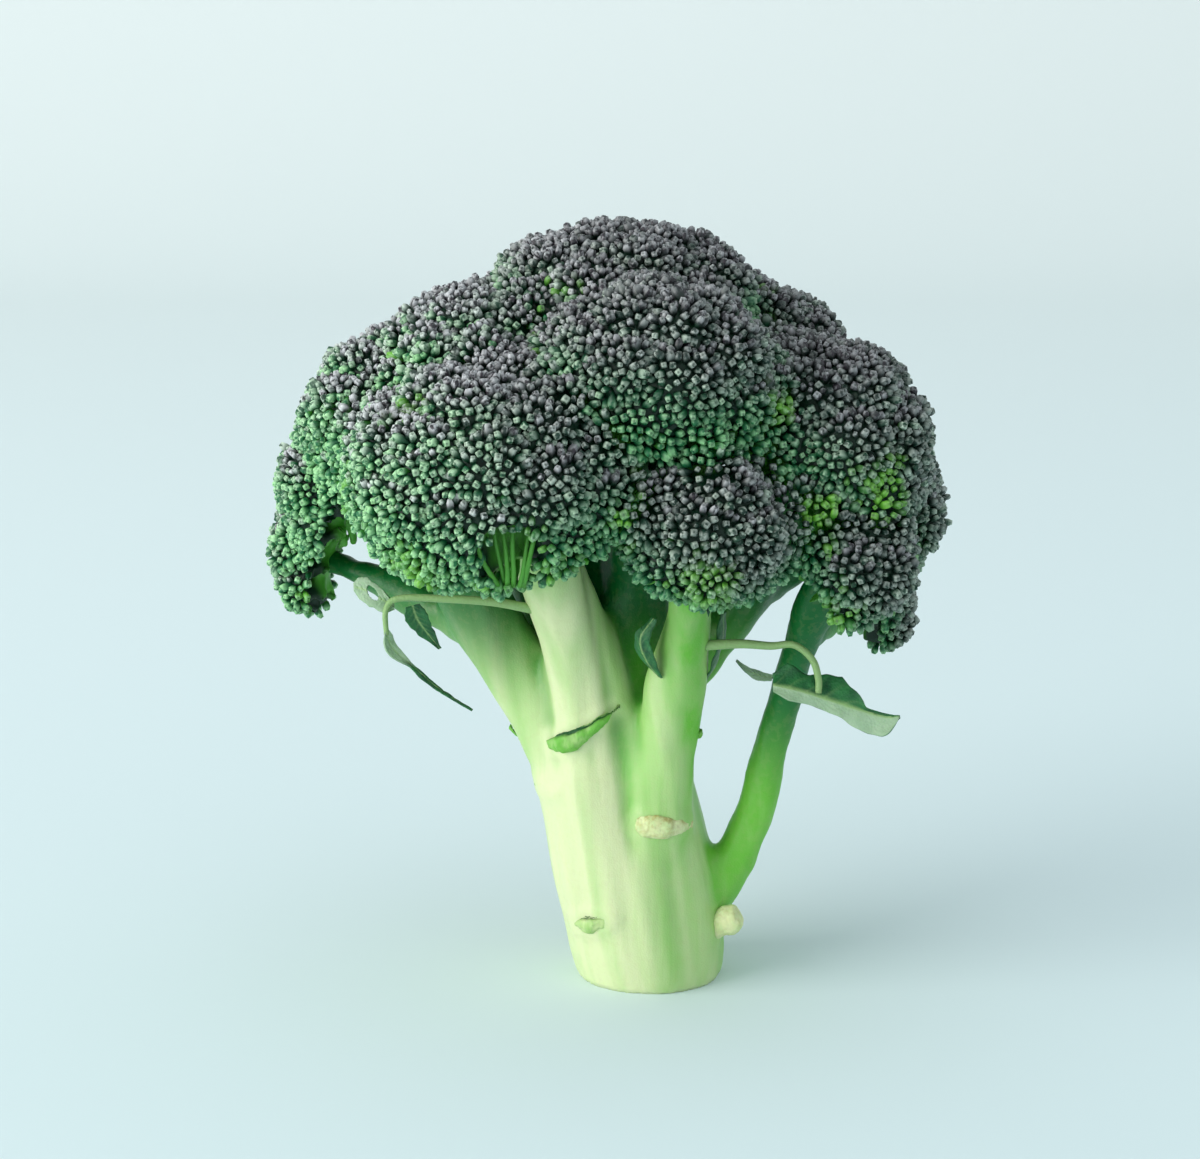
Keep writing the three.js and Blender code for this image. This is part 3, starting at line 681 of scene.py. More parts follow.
floret_solids = {name: cad_mesh(name) for name in floret_nodes}
florets = {name: solid_facts(name) for name in floret_nodes}
crown, crown_faces = skin_round(
    [grown(*solid, CROWN_GROWTH + CROWN_CLOSING) for solid in floret_solids.values()], CROWN_VOXEL
)
crown = crown - corner_normals(crown, crown_faces) * CROWN_CLOSING
crown = smoothed(crown, crown_faces, 70, hollow=0.6, ridge=0.04)
crown = smoothed(crown, crown_faces, 5)
crown_owner = nearest_owner(crown, floret_solids)
facing = np.empty(len(crown))
for index, name in enumerate(floret_nodes):
    mine = crown_owner == index
    facing[mine] = turned_out(crown[mine], florets[name])
outer_faces = crown_faces[(facing[crown_faces] > BUD_RIM).all(1)]
print("crown skin:", len(crown_faces), "faces,", len(outer_faces), "of them under buds")

# %% [markdown]
# Scattering by thrown darts gives even spacing with no rows: a dart that lands too near an earlier one
# is thrown away. Buds grow tighter than darts can, so the points then push each other apart a few
# times, and each is put back on the skin.

# %% Scatter points on a skin
NEIGHBOURHOOD = [(i, j, k) for i in (-1, 0, 1) for j in (-1, 0, 1) for k in (-1, 0, 1)]


def scatter(corners, faces, spacing, seed, darts_per_place=7):
    """Points on the faces, none nearer to another than the spacing."""
    chance = np.random.default_rng(seed)
    halves = halved(faces)
    area = np.linalg.norm(face_normals(corners, halves), axis=1) / 2
    count = int(darts_per_place * area.sum() / spacing**2)
    hit = halves[chance.choice(len(halves), count, p=area / area.sum())]
    share = chance.random((count, 2))
    share = np.where(share.sum(1, keepdims=True) > 1, 1 - share, share)[..., None]
    base = corners[hit[:, 0]]
    darts = base + share[:, 0] * (corners[hit[:, 1]] - base) + share[:, 1] * (corners[hit[:, 2]] - base)
    grid, kept = {}, []
    for dart, (x, y, z) in zip(darts.tolist(), np.floor(darts / spacing).astype(int).tolist()):
        near = (other for i, j, k in NEIGHBOURHOOD for other in grid.get((x + i, y + j, z + k), ()))
        if all(math.dist(dart, other) >= spacing for other in near):
            grid.setdefault((x, y, z), []).append(dart)
            kept.append(dart)
    return np.array(kept)


def point_tree(points):
    """A tree for finding the points nearest to a place."""
    tree = KDTree(len(points))
    for index, point in enumerate(points):
        tree.insert(point, index)
    tree.balance()
    return tree


def nearest_few(points, tree, count):
    """Indices of and distances to the nearest points in a tree."""
    found = [tree.find_n(point, count) for point in points]
    indices = np.array([[hit[1] for hit in hits] for hits in found])
    return indices, np.array([[hit[2] for hit in hits] for hits in found])


def evened(points, spacing, skin, rounds):
    """Lets points push each other apart, and puts them back on the skin each time."""
    for _ in range(rounds):
        near, gaps = nearest_few(points, point_tree(points), 7)
        away = unit(points[:, None] - points[near[:, 1:]])
        push = np.clip(spacing - gaps[:, 1:], 0, None)[..., None] * away
        moved = points + 0.4 * push.sum(1)
        points = np.array([skin.find_nearest(Vector(point))[0] for point in moved])
    return points


# %% Lobes, clumps and the furrows between them
LOBE_SPACING, LOBE_DEPTH = 12.5 * MM, 2.6 * MM
CLUMP_SPACING, CLUMP_DEPTH = 4.4 * MM, 1.0 * MM
lobes = scatter(crown, outer_faces, LOBE_SPACING, seed=11)
clumps = scatter(crown, outer_faces, CLUMP_SPACING, seed=12)
lobe_tree, clump_tree = point_tree(lobes), point_tree(clumps)


def furrow_depth(points):
    """How far the furrows between lobes and between clumps sink below the dome, in metres."""
    depth = np.zeros(len(points))
    for tree, deepest in ((lobe_tree, LOBE_DEPTH), (clump_tree, CLUMP_DEPTH)):
        gaps = nearest_few(points, tree, 2)[1]
        depth += deepest * (gaps[:, 0] / gaps[:, 1]) ** 3
    return depth


crown = crown - corner_normals(crown, crown_faces) * furrow_depth(crown)[:, None]
crown_normals = corner_normals(crown, crown_faces)
crown_skin = BVHTree.FromPolygons(crown.tolist(), outer_faces.tolist())
print(len(lobes), "lobes and", len(clumps), "clumps")

# %% [markdown]
# ## Flower buds
#
# A closed bud is a blunt egg, nearly 2 mm across, on a thin green foot. Four sepals wrap it, so that it
# is faintly four-sided and its tip is a shallow cross. One such bud is modelled as four rings of eight
# corners, and copied to every place, turned, leaned out from the middle of its clump and lobe, and varied
# in size.

# %% One bud
BUD_RINGS = ((-1.0, 0.42, 0.0), (-0.3, 0.95, 0.07), (0.5, 0.97, 0.12), (1.1, 0.55, 0.2))
BUD_FOOT, BUD_TIP, BUD_SIDES = -1.9, 0.8, 8


def make_bud():
    """A bud of radius 1 along +Z: corners, triangles, and the tip share and painted cleft shade of each
    corner.
    """
    corners = [(0, 0, BUD_FOOT)]
    for height, radius, fluting in BUD_RINGS:
        for side in range(BUD_SIDES):
            angle = 2 * math.pi * side / BUD_SIDES
            reach = radius * (1 + fluting * math.cos(4 * angle))
            corners.append((reach * math.cos(angle), reach * math.sin(angle), height))
    corners.append((0, 0, BUD_TIP))
    faces = []
    for side in range(BUD_SIDES):
        after = (side + 1) % BUD_SIDES
        faces.append((0, 1 + after, 1 + side))
        for ring in range(len(BUD_RINGS) - 1):
            low, high = 1 + ring * BUD_SIDES, 1 + (ring + 1) * BUD_SIDES
            faces += [(low + side, low + after, high + after), (low + side, high + after, high + side)]
        last = 1 + (len(BUD_RINGS) - 1) * BUD_SIDES
        faces.append((last + side, last + after, len(corners) - 1))
    corners = np.array(corners)
    # Painted shade: the grooves between the sepals and the sunken middle of the tip are painted dark.
    cleft_shade = np.array([0.0] + [0.45 * (side % 2) for _ in BUD_RINGS for side in range(BUD_SIDES)] + [1.0])
    return corners, np.array(faces), np.clip((corners[:, 2] + 0.6) / 1.6, 0, 1), cleft_shade


bud_corners, bud_faces, bud_tip, bud_cleft_shade = make_bud()

# %% Places, directions and sizes of all buds
BUD_SPACING = 1.68 * MM
CLUMP_LEAN, LOBE_LEAN, STRAY_LEAN = 0.8, 0.4, 0.34
HUB_DEPTH = 5.0 * MM
STRAY_LIFT = 0.32 * MM

buds = scatter(crown, outer_faces, 0.86 * BUD_SPACING, seed=21)
buds = evened(buds, 1.12 * BUD_SPACING, crown_skin, 5)
vertex_tree = point_tree(crown)
nearest_corner = nearest_few(buds, vertex_tree, 1)[0][:, 0]
bud_normal = crown_normals[nearest_corner]
bud_owner = crown_owner[nearest_corner]
bud_facing = facing[nearest_corner]
nearest_clump = nearest_few(buds, clump_tree, 1)[0][:, 0]
nearest_lobe = nearest_few(buds, lobe_tree, 1)[0][:, 0]
chance = np.random.default_rng(5)
count = len(buds)
bud_way = unit(
    bud_normal
    + CLUMP_LEAN * unit(buds - clumps[nearest_clump] + bud_normal * HUB_DEPTH)
    + LOBE_LEAN * unit(buds - lobes[nearest_lobe] + bud_normal * HUB_DEPTH)
    + STRAY_LEAN * chance.normal(size=(count, 3))
)
bud_radius = 0.5 * BUD_SPACING * np.clip(chance.normal(1.0, 0.15, count), 0.65, 1.4)
bud_length = np.clip(chance.normal(1.45, 0.18, count), 1.0, 1.9)
buds = buds + bud_normal * chance.normal(0, STRAY_LIFT, count)[:, None]
bud_turn = chance.uniform(0, 2 * math.pi, count)
print(count, "buds")

# %% [markdown]
# ## Twigs and florets
#
# Under its dome of buds each floret is hollow, and the branch forks there into a fan of twigs that hold
# up the rim. Each floret gets a body: a dome a little smaller than the bud skin, hollowed out on the side
# that faces the stalk, and a fan of curved twigs from the end of its branch. They are wrapped in one skin,
# so that the twigs fork smoothly. In the front floret on the left the rim has split open and the twigs
# show, so buds are left out there, the body is dented, and a few thin upright strands cross the dent.
# Last, whatever stands out of the bud skin is moved back under it, so that no twig shows between buds.

# %% Twigs
TWIG_GAP = 6.5 * MM  # between twigs along the rim
TWIG_RADII = (2.1 * MM, 1.15 * MM)
RIM_LEVEL, INNER_LEVEL = -0.3, -0.68  # where twigs meet the dome, from -1 to 1
TWIG_STEPS = 9


def tube(path, radii, sides=8):
    """A closed tube of triangles along a path."""
    along = unit(np.gradient(path, axis=0))
    side = unit(np.cross(along, [0.31, 0.89, 0.33]))
    turns = np.linspace(0, 2 * math.pi, sides, endpoint=False)[:, None]
    spokes = np.cos(turns) * side[:, None] + np.sin(turns) * np.cross(along, side)[:, None]
    rings = path[:, None] + radii[:, None, None] * spokes
    corners = np.concatenate([rings.reshape(-1, 3), path[[0, -1]]])
    low = np.arange((len(path) - 1) * sides)
    after = low // sides * sides + (low + 1) % sides
    first, last = len(corners) - 2, len(corners) - 1
    end, end_after = low[-sides:] + sides, after[-sides:] + sides
    faces = [
        np.stack([low, after, after + sides], 1),
        np.stack([low, after + sides, low + sides], 1),
        np.stack([np.full(sides, first), after[:sides], low[:sides]], 1),
        np.stack([np.full(sides, last), end, end_after], 1),
    ]
    return corners, np.concatenate(faces)


def bent(start, start_pull, end_pull, end, steps=TWIG_STEPS):
    """Points on a curve that leaves start towards one pull and reaches end from the other."""
    share = np.linspace(0, 1, steps)[:, None]
    rest = 1 - share
    pulls = 3 * share * rest**2 * start_pull + 3 * share**2 * rest * end_pull
    return rest**3 * start + pulls + share**3 * end


def branch_end(floret):
    """Where the floret's branch ends, and how thick it is there."""
    branch = floret.replace("floret", "branch")
    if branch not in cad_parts:
        branch = branch.removesuffix("_low")
    corners = stem_solids[branch][0]
    gaps = np.linalg.norm(corners - florets[floret]["middle"], axis=1)
    ring = corners[np.argsort(gaps)[:8]]
    return ring.mean(0), np.linalg.norm(ring - ring.mean(0), axis=1).mean()


def twigs_of(name, chance):
    """Tubes from the branch's end to the floret's rim and to the inside of its dome."""
    facts = florets[name]
    root, thickness = branch_end(name)
    axis, reach = facts["axis"], facts["half"].mean()
    side = unit(np.cross(axis, [0.2, 0.1, 1.0]))
    other = np.cross(axis, side)
    start = root - axis * 2.5 * MM
    trunk = np.array([start, root, facts["middle"]])
    tubes = [tube(trunk, np.array([0.8, 0.9, 0.7]) * thickness)]
    for level, gap in ((RIM_LEVEL, TWIG_GAP), (INNER_LEVEL, 1.3 * TWIG_GAP)):
        width = math.sqrt(1 - level**2)
        count = max(5, round(2 * math.pi * reach * width / gap))
        for turn in (np.arange(count) + chance.uniform(-0.25, 0.25, count)) * 2 * math.pi / count:
            height = level + chance.uniform(-0.1, 0.1)
            spoke = height * axis + width * (math.cos(turn) * side + math.sin(turn) * other)
            end = facts["middle"] + 0.9 * spoke * facts["half"]
            path = bent(start, root + 0.25 * reach * axis, end - 0.3 * reach * axis, end)
            size = min(1.0, 0.55 + reach / (60 * MM)) * chance.uniform(0.85, 1.15)
            tubes.append(tube(path, size * np.linspace(*TWIG_RADII, TWIG_STEPS)))
    return tubes


# %% The body of a floret
BODY_VOXEL, DOME_VOXEL = 0.95 * MM, 1.5 * MM
BODY_DEPTH = 1.0 * MM
TUCK_DEPTH, TUCK_REACH = 1.0 * MM, 6.0 * MM
HOLLOW_SHARE = 0.42
NOTCH_FLORET = "floret_front_left"
NOTCH_PLACE = np.array([0.10, -0.84, -0.52])  # from the floret's middle, in half sizes
NOTCH_RADIUS, NOTCH_DENT = 9.5 * MM, 8.0 * MM
STRAND_COUNT, STRAND_SPREAD, STRAND_RADII = 6, 6.0, (0.6, 0.4)  # spread and radii in mm
# The strands in the split get one share of painted shade.
STRAND_SHADE = 0.35
SHADE_START, SHADE_LEAST, NOTCH_PALER = 2.5 * MM, 0.1, 0.25


def notch_share(name, points):
    """1 in the middle of the split in the front floret's rim, to 0 outside it."""
    if name != NOTCH_FLORET:
        return np.zeros(len(points))
    off = points - florets[name]["middle"] - NOTCH_PLACE * florets[name]["half"]
    off[:, 2] *= np.where(off[:, 2] < 0, 0.45, 1.0)  # it runs out at the rim
    return 1 - ease(np.linalg.norm(off, axis=1), 0.5 * NOTCH_RADIUS, 0.85 * NOTCH_RADIUS)


def notch_strands(chance):
    """Thin upright strands across the split in the front floret's rim."""
    facts = florets[NOTCH_FLORET]
    place = facts["middle"] + NOTCH_PLACE * facts["half"]
    strands = []
    spots = np.linspace(-STRAND_SPREAD, STRAND_SPREAD, STRAND_COUNT)
    for right in spots + chance.uniform(-0.9, 0.9, STRAND_COUNT):
        low = place + np.array([0.4 * right, chance.uniform(5.0, 7.5), -7.0]) * MM
        high = place + np.array([right, chance.uniform(1.5, 3.5), 8.0]) * MM
        path = bent(
            low,
            low + np.array([chance.uniform(-2.5, 2.5), -3, 4]) * MM,
            high - np.array([chance.uniform(-2.5, 2.5), 1, 6]) * MM,
            high,
        )
        strands.append(tube(path, np.linspace(*STRAND_RADII, TWIG_STEPS) * MM))
    return joined(strands)


def tucked(points):
    """Points moved back under the buds' skin where they stand out of it, and each one's depth."""
    points, depth = points.copy(), np.full(len(points), TUCK_REACH)
    for index, point in enumerate(points):
        spot, normal, _, gap = crown_skin.find_nearest(Vector(point), TUCK_REACH)
        if spot is not None:
            out = (Vector(point) - spot).dot(normal)
            points[index] -= np.array(normal) * max(0.0, out + TUCK_DEPTH)
            depth[index] = gap
    return points, depth


def make_body(name, chance):
    """A floret's hollowed dome and its twigs in one skin, and its painted shade: dark just under the buds and
    in hollows.
    """
    facts = florets[name]
    dome, dome_faces = skin_round([floret_solids[name]], DOME_VOXEL)
    dome = smoothed(dome, dome_faces, 4)
    inside = 1 - ease(turned_out(dome, facts), BUD_RIM - 0.12, BUD_RIM + 0.25)
    depth = BODY_DEPTH + HOLLOW_SHARE * facts["half"].mean() * inside
    depth += NOTCH_DENT * notch_share(name, dome)
    dome = dome - corner_normals(dome, dome_faces) * depth[:, None]
    body, faces = skin_round([(dome, halved(dome_faces)), *twigs_of(name, chance)], BODY_VOXEL)
    body, depth = tucked(smoothed(body, faces, 5, hollow=0.6, ridge=0.15))
    # Painted shade: the body is painted dark green just under the buds and in its hollows, and a little
    # lighter in the split.
    shade = 1 - ease(depth, SHADE_START, TUCK_REACH)
    shade = np.maximum(shade, hollowness(body, faces, 25, 2 * MM))
    return body, faces, np.clip(SHADE_LEAST + shade - NOTCH_PALER * notch_share(name, body), 0, 1)


# %% [markdown]
# ## Bud colours
#
# Fresh buds are a dark blue-green under a pale wax. Their tips are painted pale, partly for that wax and
# partly as a painted highlight, and their feet are painted dark, as painted shade in the gaps between buds.
# Where the sun reached the crown they turn purple-brown. Towards the rims they are plain green, and here and
# there a few riper clumps show yellow-green. On the head's left, which faces the strong lamp, the buds are
# painted greener,
# with paler tips and lusher feet: painted light. Each bud gets one value of each, and the bud's own tip share
# lets the finish fade from the foot to the pale tip.

# %% Paint the buds
RIPE_PATCHES = (  # place in the head's box, radius and strength
    ((0.16, 0.10, 0.60), 11 * MM, 0.55),
    ((0.22, 0.08, 0.58), 12 * MM, 1.0),
    ((0.25, 0.15, 0.78), 6 * MM, 0.8),
    ((0.155, 0.22, 0.69), 7 * MM, 0.7),
    ((0.06, 0.35, 0.60), 8 * MM, 0.6),
    ((0.415, 0.04, 0.585), 9 * MM, 1.0),
    ((0.40, 0.02, 0.645), 5 * MM, 0.8),
    ((0.88, 0.25, 0.69), 8 * MM, 1.0),
    ((0.63, 0.06, 0.58), 10 * MM, 0.6),
    ((0.93, 0.30, 0.52), 8 * MM, 0.7),
)


def bud_paint():
    """Purple and ripe shares of each bud, and its green, pale tip and lush foot, which carry painted light
    too.
    """
    broad = noise_over(buds, 14 * MM, seed=3)
    fine = noise_over(buds, 5 * MM, seed=9)
    stray = chance.normal(size=count)
    # The share that faces the strong lamp on the head's left is painted light: it makes buds greener, paler
    # tipped and lusher at the foot.
    left = ease(-buds[:, 0], 5 * MM, 62 * MM)
    purple = ease(bud_normal[:, 2] + 0.35 * broad + 0.12 * stray, 0.15, 1.0)
    rim = 1 - ease(bud_facing + 0.18 * broad + 0.06 * stray, BUD_RIM, 0.6)
    green = np.clip(rim + 0.8 * left * (1 - 0.6 * purple) + 0.12 * stray, 0, 1)
    ripe = ease(broad + 0.6 * fine, 0.30, 0.62) * ease(rim, 0.15, 0.5)
    for place, radius, strength in RIPE_PATCHES:
        off = np.linalg.norm(buds - np.array(place) * cad_size - cad_low, axis=1)
        ripe = np.maximum(ripe, strength * (1 - ease(off + 1.5 * MM * stray, 0.3 * radius, radius)))
    lush_and_lit = ease(0.6 * broad + fine + 0.3 * stray + 0.4 * left + 0.5 * rim - 0.6 * purple, 0.6, 1.4)
    wax_and_lit_side = np.clip(0.56 + 0.5 * left + 0.15 * fine + 0.12 * stray, 0, 1.2) * (1 - 0.6 * ripe)
    return {"purple": purple, "green": green, "ripe": ripe, "lush_and_lit": np.maximum(lush_and_lit, ripe), "wax_and_lit_side": wax_and_lit_side}


bud_values = bud_paint()

# %% Bud and twig finishes
# The wax colours are partly wax bloom and partly a painted highlight on the tips.
BUD_BLUE, BUD_PURPLE, BUD_GREEN = (0.004, 0.030, 0.019), (0.030, 0.018, 0.030), (0.010, 0.180, 0.055)
BUD_RIPE, BUD_WAX_HIGHLIGHT, BUD_GREEN_WAX_HIGHLIGHT = (0.20, 0.56, 0.045), (0.82, 0.90, 0.80), (0.48, 0.92, 0.43)
BUD_PURPLE_WAX_HIGHLIGHT = (0.76, 0.77, 0.80)
# The darkest foot colour is painted shade in the gaps between the buds.
FOOT_SHADE, FOOT_GREEN, FOOT_LUSH = (0.002, 0.012, 0.007), (0.001, 0.075, 0.026), (0.06, 0.28, 0.022)
# The second twig colour is the dark green of the painted shade; the fibres darken towards it too.
TWIG_PALE, TWIG_DEEP = (0.12, 0.48, 0.05), (0.001, 0.024, 0.010)


def make_bud_finish():
    """A foot from painted shade to green, skin tinted by what is painted, and a pale tip of wax and painted
    highlight.
    """
    material, tree, shader = new_finish("bud_skin", 0.42, 0.5)
    skin = mixed(tree, painted(tree, "green"), BUD_BLUE, BUD_GREEN)
    skin = mixed(tree, painted(tree, "purple"), skin, BUD_PURPLE)
    skin = mixed(tree, painted(tree, "ripe"), skin, BUD_RIPE)
    # The tip's pale colour is partly wax bloom and partly a painted highlight where the tips catch the light.
    tip = painted(tree, "tip")
    pale_tip_share = add_node(tree, "ShaderNodeMath", {0: tip, 1: 1.7}, operation="POWER").outputs[0]
    blotch = place_group(tree, mottle, {"Scale": 800.0, "Contrast": 4.5})
    tip_wax_and_highlight = mixed(tree, painted(tree, "green"), BUD_WAX_HIGHLIGHT, BUD_GREEN_WAX_HIGHLIGHT)
    tip_wax_and_highlight = mixed(tree, painted(tree, "purple"), tip_wax_and_highlight, BUD_PURPLE_WAX_HIGHLIGHT)
    wax_and_lit_side = product(tree, painted(tree, "wax_and_lit_side"), scaled(tree, blotch, 2.0, -0.15))
    skin = mixed(tree, product(tree, pale_tip_share, wax_and_lit_side), skin, tip_wax_and_highlight)
    # Painted shade in the sepal grooves and the sunken tip.
    skin = mixed(tree, scaled(tree, painted(tree, "cleft_shade"), 0.8), skin, BUD_BLUE)
    # Painted shade: the bud's foot, down in the gaps between buds, is painted dark, and greener on the rims
    # and on the lit left.
    foot = mixed(tree, painted(tree, "green"), FOOT_SHADE, FOOT_GREEN)
    foot = mixed(tree, painted(tree, "lush_and_lit"), foot, FOOT_LUSH)
    skin = mixed(tree, scaled(tree, tip, 2.0, -0.1), foot, skin)
    grain = place_group(tree, cells, {"Scale": 4200.0})
    wear(tree, shader, skin, grain, 0.05 * MM, 0.7)
    return material


def make_twig_finish():
    """Pale green twigs, painted dark green where shade is painted on them."""
    material, tree, shader = new_finish("twig_flesh", 0.45, 0.35, 0.12, (1.5, 2.5, 0.8))
    streak = place_group(tree, fibres, {"Fineness": 1500.0, "Length": 5.0})
    skin = mixed(tree, painted(tree, "painted_shade"), TWIG_PALE, TWIG_DEEP)
    skin = mixed(tree, scaled(tree, streak, 0.35, -0.05), skin, TWIG_DEEP)
    wear(tree, shader, skin, streak, 0.1 * MM, 0.7)
    return material


bud_finish, twig_finish = make_bud_finish(), make_twig_finish()

# %% [markdown]
# Each floret becomes one piece: its body, and a copy of the bud for every place that is nearest to it.
# The copies of one floret are made as arrays in one step, since there are twelve thousand in all.

# %% Put the florets together
def copies_of_bud(places):
    """Corners, triangles and painted values of the buds with the given indices."""
    way = bud_way[places]
    side = unit(np.cross(way, [0.31, 0.89, 0.33]))
    other = np.cross(way, side)
    turn = bud_turn[places][:, None]
    first = np.cos(turn) * side + np.sin(turn) * other
    second = np.cross(way, first)
    radius = bud_radius[places][:, None, None]
    length = radius * bud_length[places][:, None, None]
    local = bud_corners[None]
    flat = radius * (local[..., :1] * first[:, None] + local[..., 1:2] * second[:, None])
    corners = buds[places][:, None] + flat + length * local[..., 2:] * way[:, None]
    faces = bud_faces[None] + (np.arange(len(places)) * len(bud_corners))[:, None, None]
    values = {key: np.repeat(numbers[places], len(bud_corners)) for key, numbers in bud_values.items()}
    values["tip"] = np.tile(bud_tip, len(places))
    values["cleft_shade"] = np.tile(bud_cleft_shade, len(places))
    return corners.reshape(-1, 3), faces.reshape(-1, 3), values


def make_floret(index, name):
    """One piece from a floret's body, its buds and, in one floret, the strands of the split."""
    chance = np.random.default_rng(100 + index)
    body, body_faces, body_shade = make_body(name, chance)
    body_faces = halved(body_faces)
    if name == NOTCH_FLORET:
        strands, strand_faces = notch_strands(chance)
        body, body_faces = joined([(body, body_faces), (strands, strand_faces)])
        body_shade = np.concatenate([body_shade, np.full(len(strands), STRAND_SHADE)])
    places = np.flatnonzero((bud_owner == index) & (notch_share(name, buds) < 0.5))
    bud_copies, copy_faces, values = copies_of_bud(places)
    corners, faces = joined([(body, body_faces), (bud_copies, copy_faces)])
    values = {key: np.concatenate([np.zeros(len(body)), numbers]) for key, numbers in values.items()}
    values["painted_shade"] = np.concatenate([body_shade, np.zeros(len(bud_copies))])
    slots = np.repeat([0, 1], [len(body_faces), len(copy_faces)])
    finishes = [twig_finish, bud_finish]
    piece = make_object(name.replace("floret", "buds"), corners, faces, finishes, values, slots)
    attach(piece, "root")
    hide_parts(name)
    return len(places), len(faces)


for index, name in enumerate(floret_nodes):
    print(name, "buds and faces:", make_floret(index, name))

# %% [markdown]
# ## Leaves left on the head
#
# A few small leaves survive the trimming. They are thin, limp and a little torn: dark green above and a
# dusty grey-green below, with a pale midrib. A leaf is a grid of points bent over its midrib, with a
# width for each of its two halves. Cells of the grid are left out for a hole, and what is left is given a
# thickness and closed all round its edge.

# %% Sheets with a thickness
LEAF_THICKNESS = 0.45 * MM


def curve_through(points, count):
    """Evenly shared points on a smooth curve through all the given ones."""
    points = np.asarray(points, float)
    ends = np.concatenate([[2 * points[0] - points[1]], points, [2 * points[-1] - points[-2]]])
    spots = np.linspace(0, len(points) - 1, count)
    step = np.minimum(spots.astype(int), len(points) - 2)
    share = (spots - step)[:, None]
    a, b, c, d = (ends[step + k] for k in range(4))
    bend = (2 * a - 5 * b + 4 * c - d) * share**2 + (3 * b - a - 3 * c + d) * share**3
    return 0.5 * (2 * b + (c - a) * share + bend)


def sheet(grid, kept, thickness):
    """A closed thin solid over the kept cells of a grid of points."""
    rows, columns = grid.shape[:2]
    along, across = np.gradient(grid, axis=0), np.gradient(grid, axis=1)
    lift = unit(np.cross(along, across)).reshape(-1, 3) * thickness / 2
    flat = grid.reshape(-1, 3)
    row, column = np.nonzero(kept)
    first = row * columns + column
    cell = np.stack([first, first + columns, first + columns + 1, first + 1], 1)
    count = rows * columns
    ends = np.stack([cell, np.roll(cell, -1, axis=1)], 2).reshape(-1, 2)
    seen = {tuple(pair) for pair in ends.tolist()}
    rim = np.array([pair for pair in ends.tolist() if (pair[1], pair[0]) not in seen])
    walls = np.stack([rim[:, 1], rim[:, 0], rim[:, 0] + count, rim[:, 1] + count], 1)
    faces = np.concatenate([cell, cell[:, ::-1] + count, walls])
    corners = np.concatenate([flat + lift, flat - lift])
    used, faces = np.unique(faces, return_inverse=True)
    return corners[used], faces.reshape(-1, 4), used % count, used >= count


def profile(stops, share):
    """Values between stops of (share, value)."""
    stops = np.array(stops)
    return np.interp(share, stops[:, 0], stops[:, 1])


def leaf_blade(midrib, near_half, far_half, near_way, far_way, ruffle, hole=None, seed=0):
    """A blade over a midrib. Each half has its widths in mm along the midrib and a way to spread."""
    rows, half = 64, 12
    spine = curve_through(midrib, rows)
    share = np.linspace(0, 1, rows)
    spread_share = np.linspace(-1, 1, 2 * half + 1)
    ragged = 1 + 0.1 * noise_over(np.stack([share * 9, share * 0, share * 0 + seed], 1), 1.0)
    near = (profile(near_half, share) * ragged * MM)[:, None, None] * unit(np.array(near_way, float))
    far = (profile(far_half, share) * ragged * MM)[:, None, None] * unit(np.array(far_way, float))
    out = np.abs(spread_share)[None, :, None]
    grid = spine[:, None] + np.where(spread_share[None, :, None] < 0, near, far) * out
    wobble = noise_over(grid.reshape(-1, 3), 3.4 * MM, seed=seed + 0.5).reshape(rows, -1, 1)
    lift = unit(np.cross(np.gradient(grid, axis=0), np.gradient(grid, axis=1)))
    veins = np.clip(np.cos((share[:, None] * 7 - out[..., 0] * 1.4) * 2 * math.pi), 0, 1)[..., None] ** 6
    grid = grid + lift * (ruffle * wobble * (0.25 + out**2) + 0.1 * veins * (1 - out)) * MM
    cell_share, cell_out = (share[1:] + share[:-1]) / 2, (spread_share[1:] + spread_share[:-1]) / 2
    kept = np.ones((rows - 1, 2 * half), bool)
    if hole is not None:
        far_off = np.hypot((cell_share[:, None] - hole[0]) / hole[2], (cell_out[None] - hole[1]) / hole[3])
        kept &= far_off > 1
    corners, faces, spot, below = sheet(grid, kept, LEAF_THICKNESS)
    side = np.repeat(spread_share[None], rows, axis=0).ravel()[spot]
    vein = np.exp(-((side / 0.09) ** 2)) + 0.3 * veins.reshape(-1)[spot] * (1 - abs(side))
    return corners, faces, {"vein": np.clip(vein, 0, 1), "side": side, "below": below.astype(float)}


# %% Leaf finish
LEAF_DARK, LEAF_MID, LEAF_DUST = (0.004, 0.060, 0.022), (0.030, 0.190, 0.055), (0.36, 0.50, 0.33)
LEAF_RIB = (0.34, 0.52, 0.20)


def make_leaf_finish():
    """Dark above, dusty below and pale ribs: each is painted as a share."""
    material, tree, shader = new_finish("leaf_skin", 0.5, 0.4, 0.08, (1.0, 2.0, 0.6))
    blotch = place_group(tree, mottle, {"Scale": 350.0, "Contrast": 2.5})
    skin = mixed(tree, blotch, LEAF_DARK, LEAF_MID)
    dusty = mixed(tree, scaled(tree, blotch, 0.3), LEAF_DUST, LEAF_MID)
    skin = mixed(tree, painted(tree, "dusty"), skin, dusty)
    skin = mixed(tree, painted(tree, "rib"), skin, LEAF_RIB)
    grain = place_group(tree, cells, {"Scale": 1800.0})
    wear(tree, shader, skin, grain, 0.12 * MM, 0.8)
    return material


leaf_finish = make_leaf_finish()

# %% [markdown]
# Each leaf is written as shares of its own box in the frame, so it keeps to its place if the head is
# resized. The right one hangs from an arched stalk; its near half has folded down and shows the dusty
# side, while its far half stands up dark and lobed. The left one has dried to a thin curl with a thread of
# a tip. The rest are small, and one has a hole.

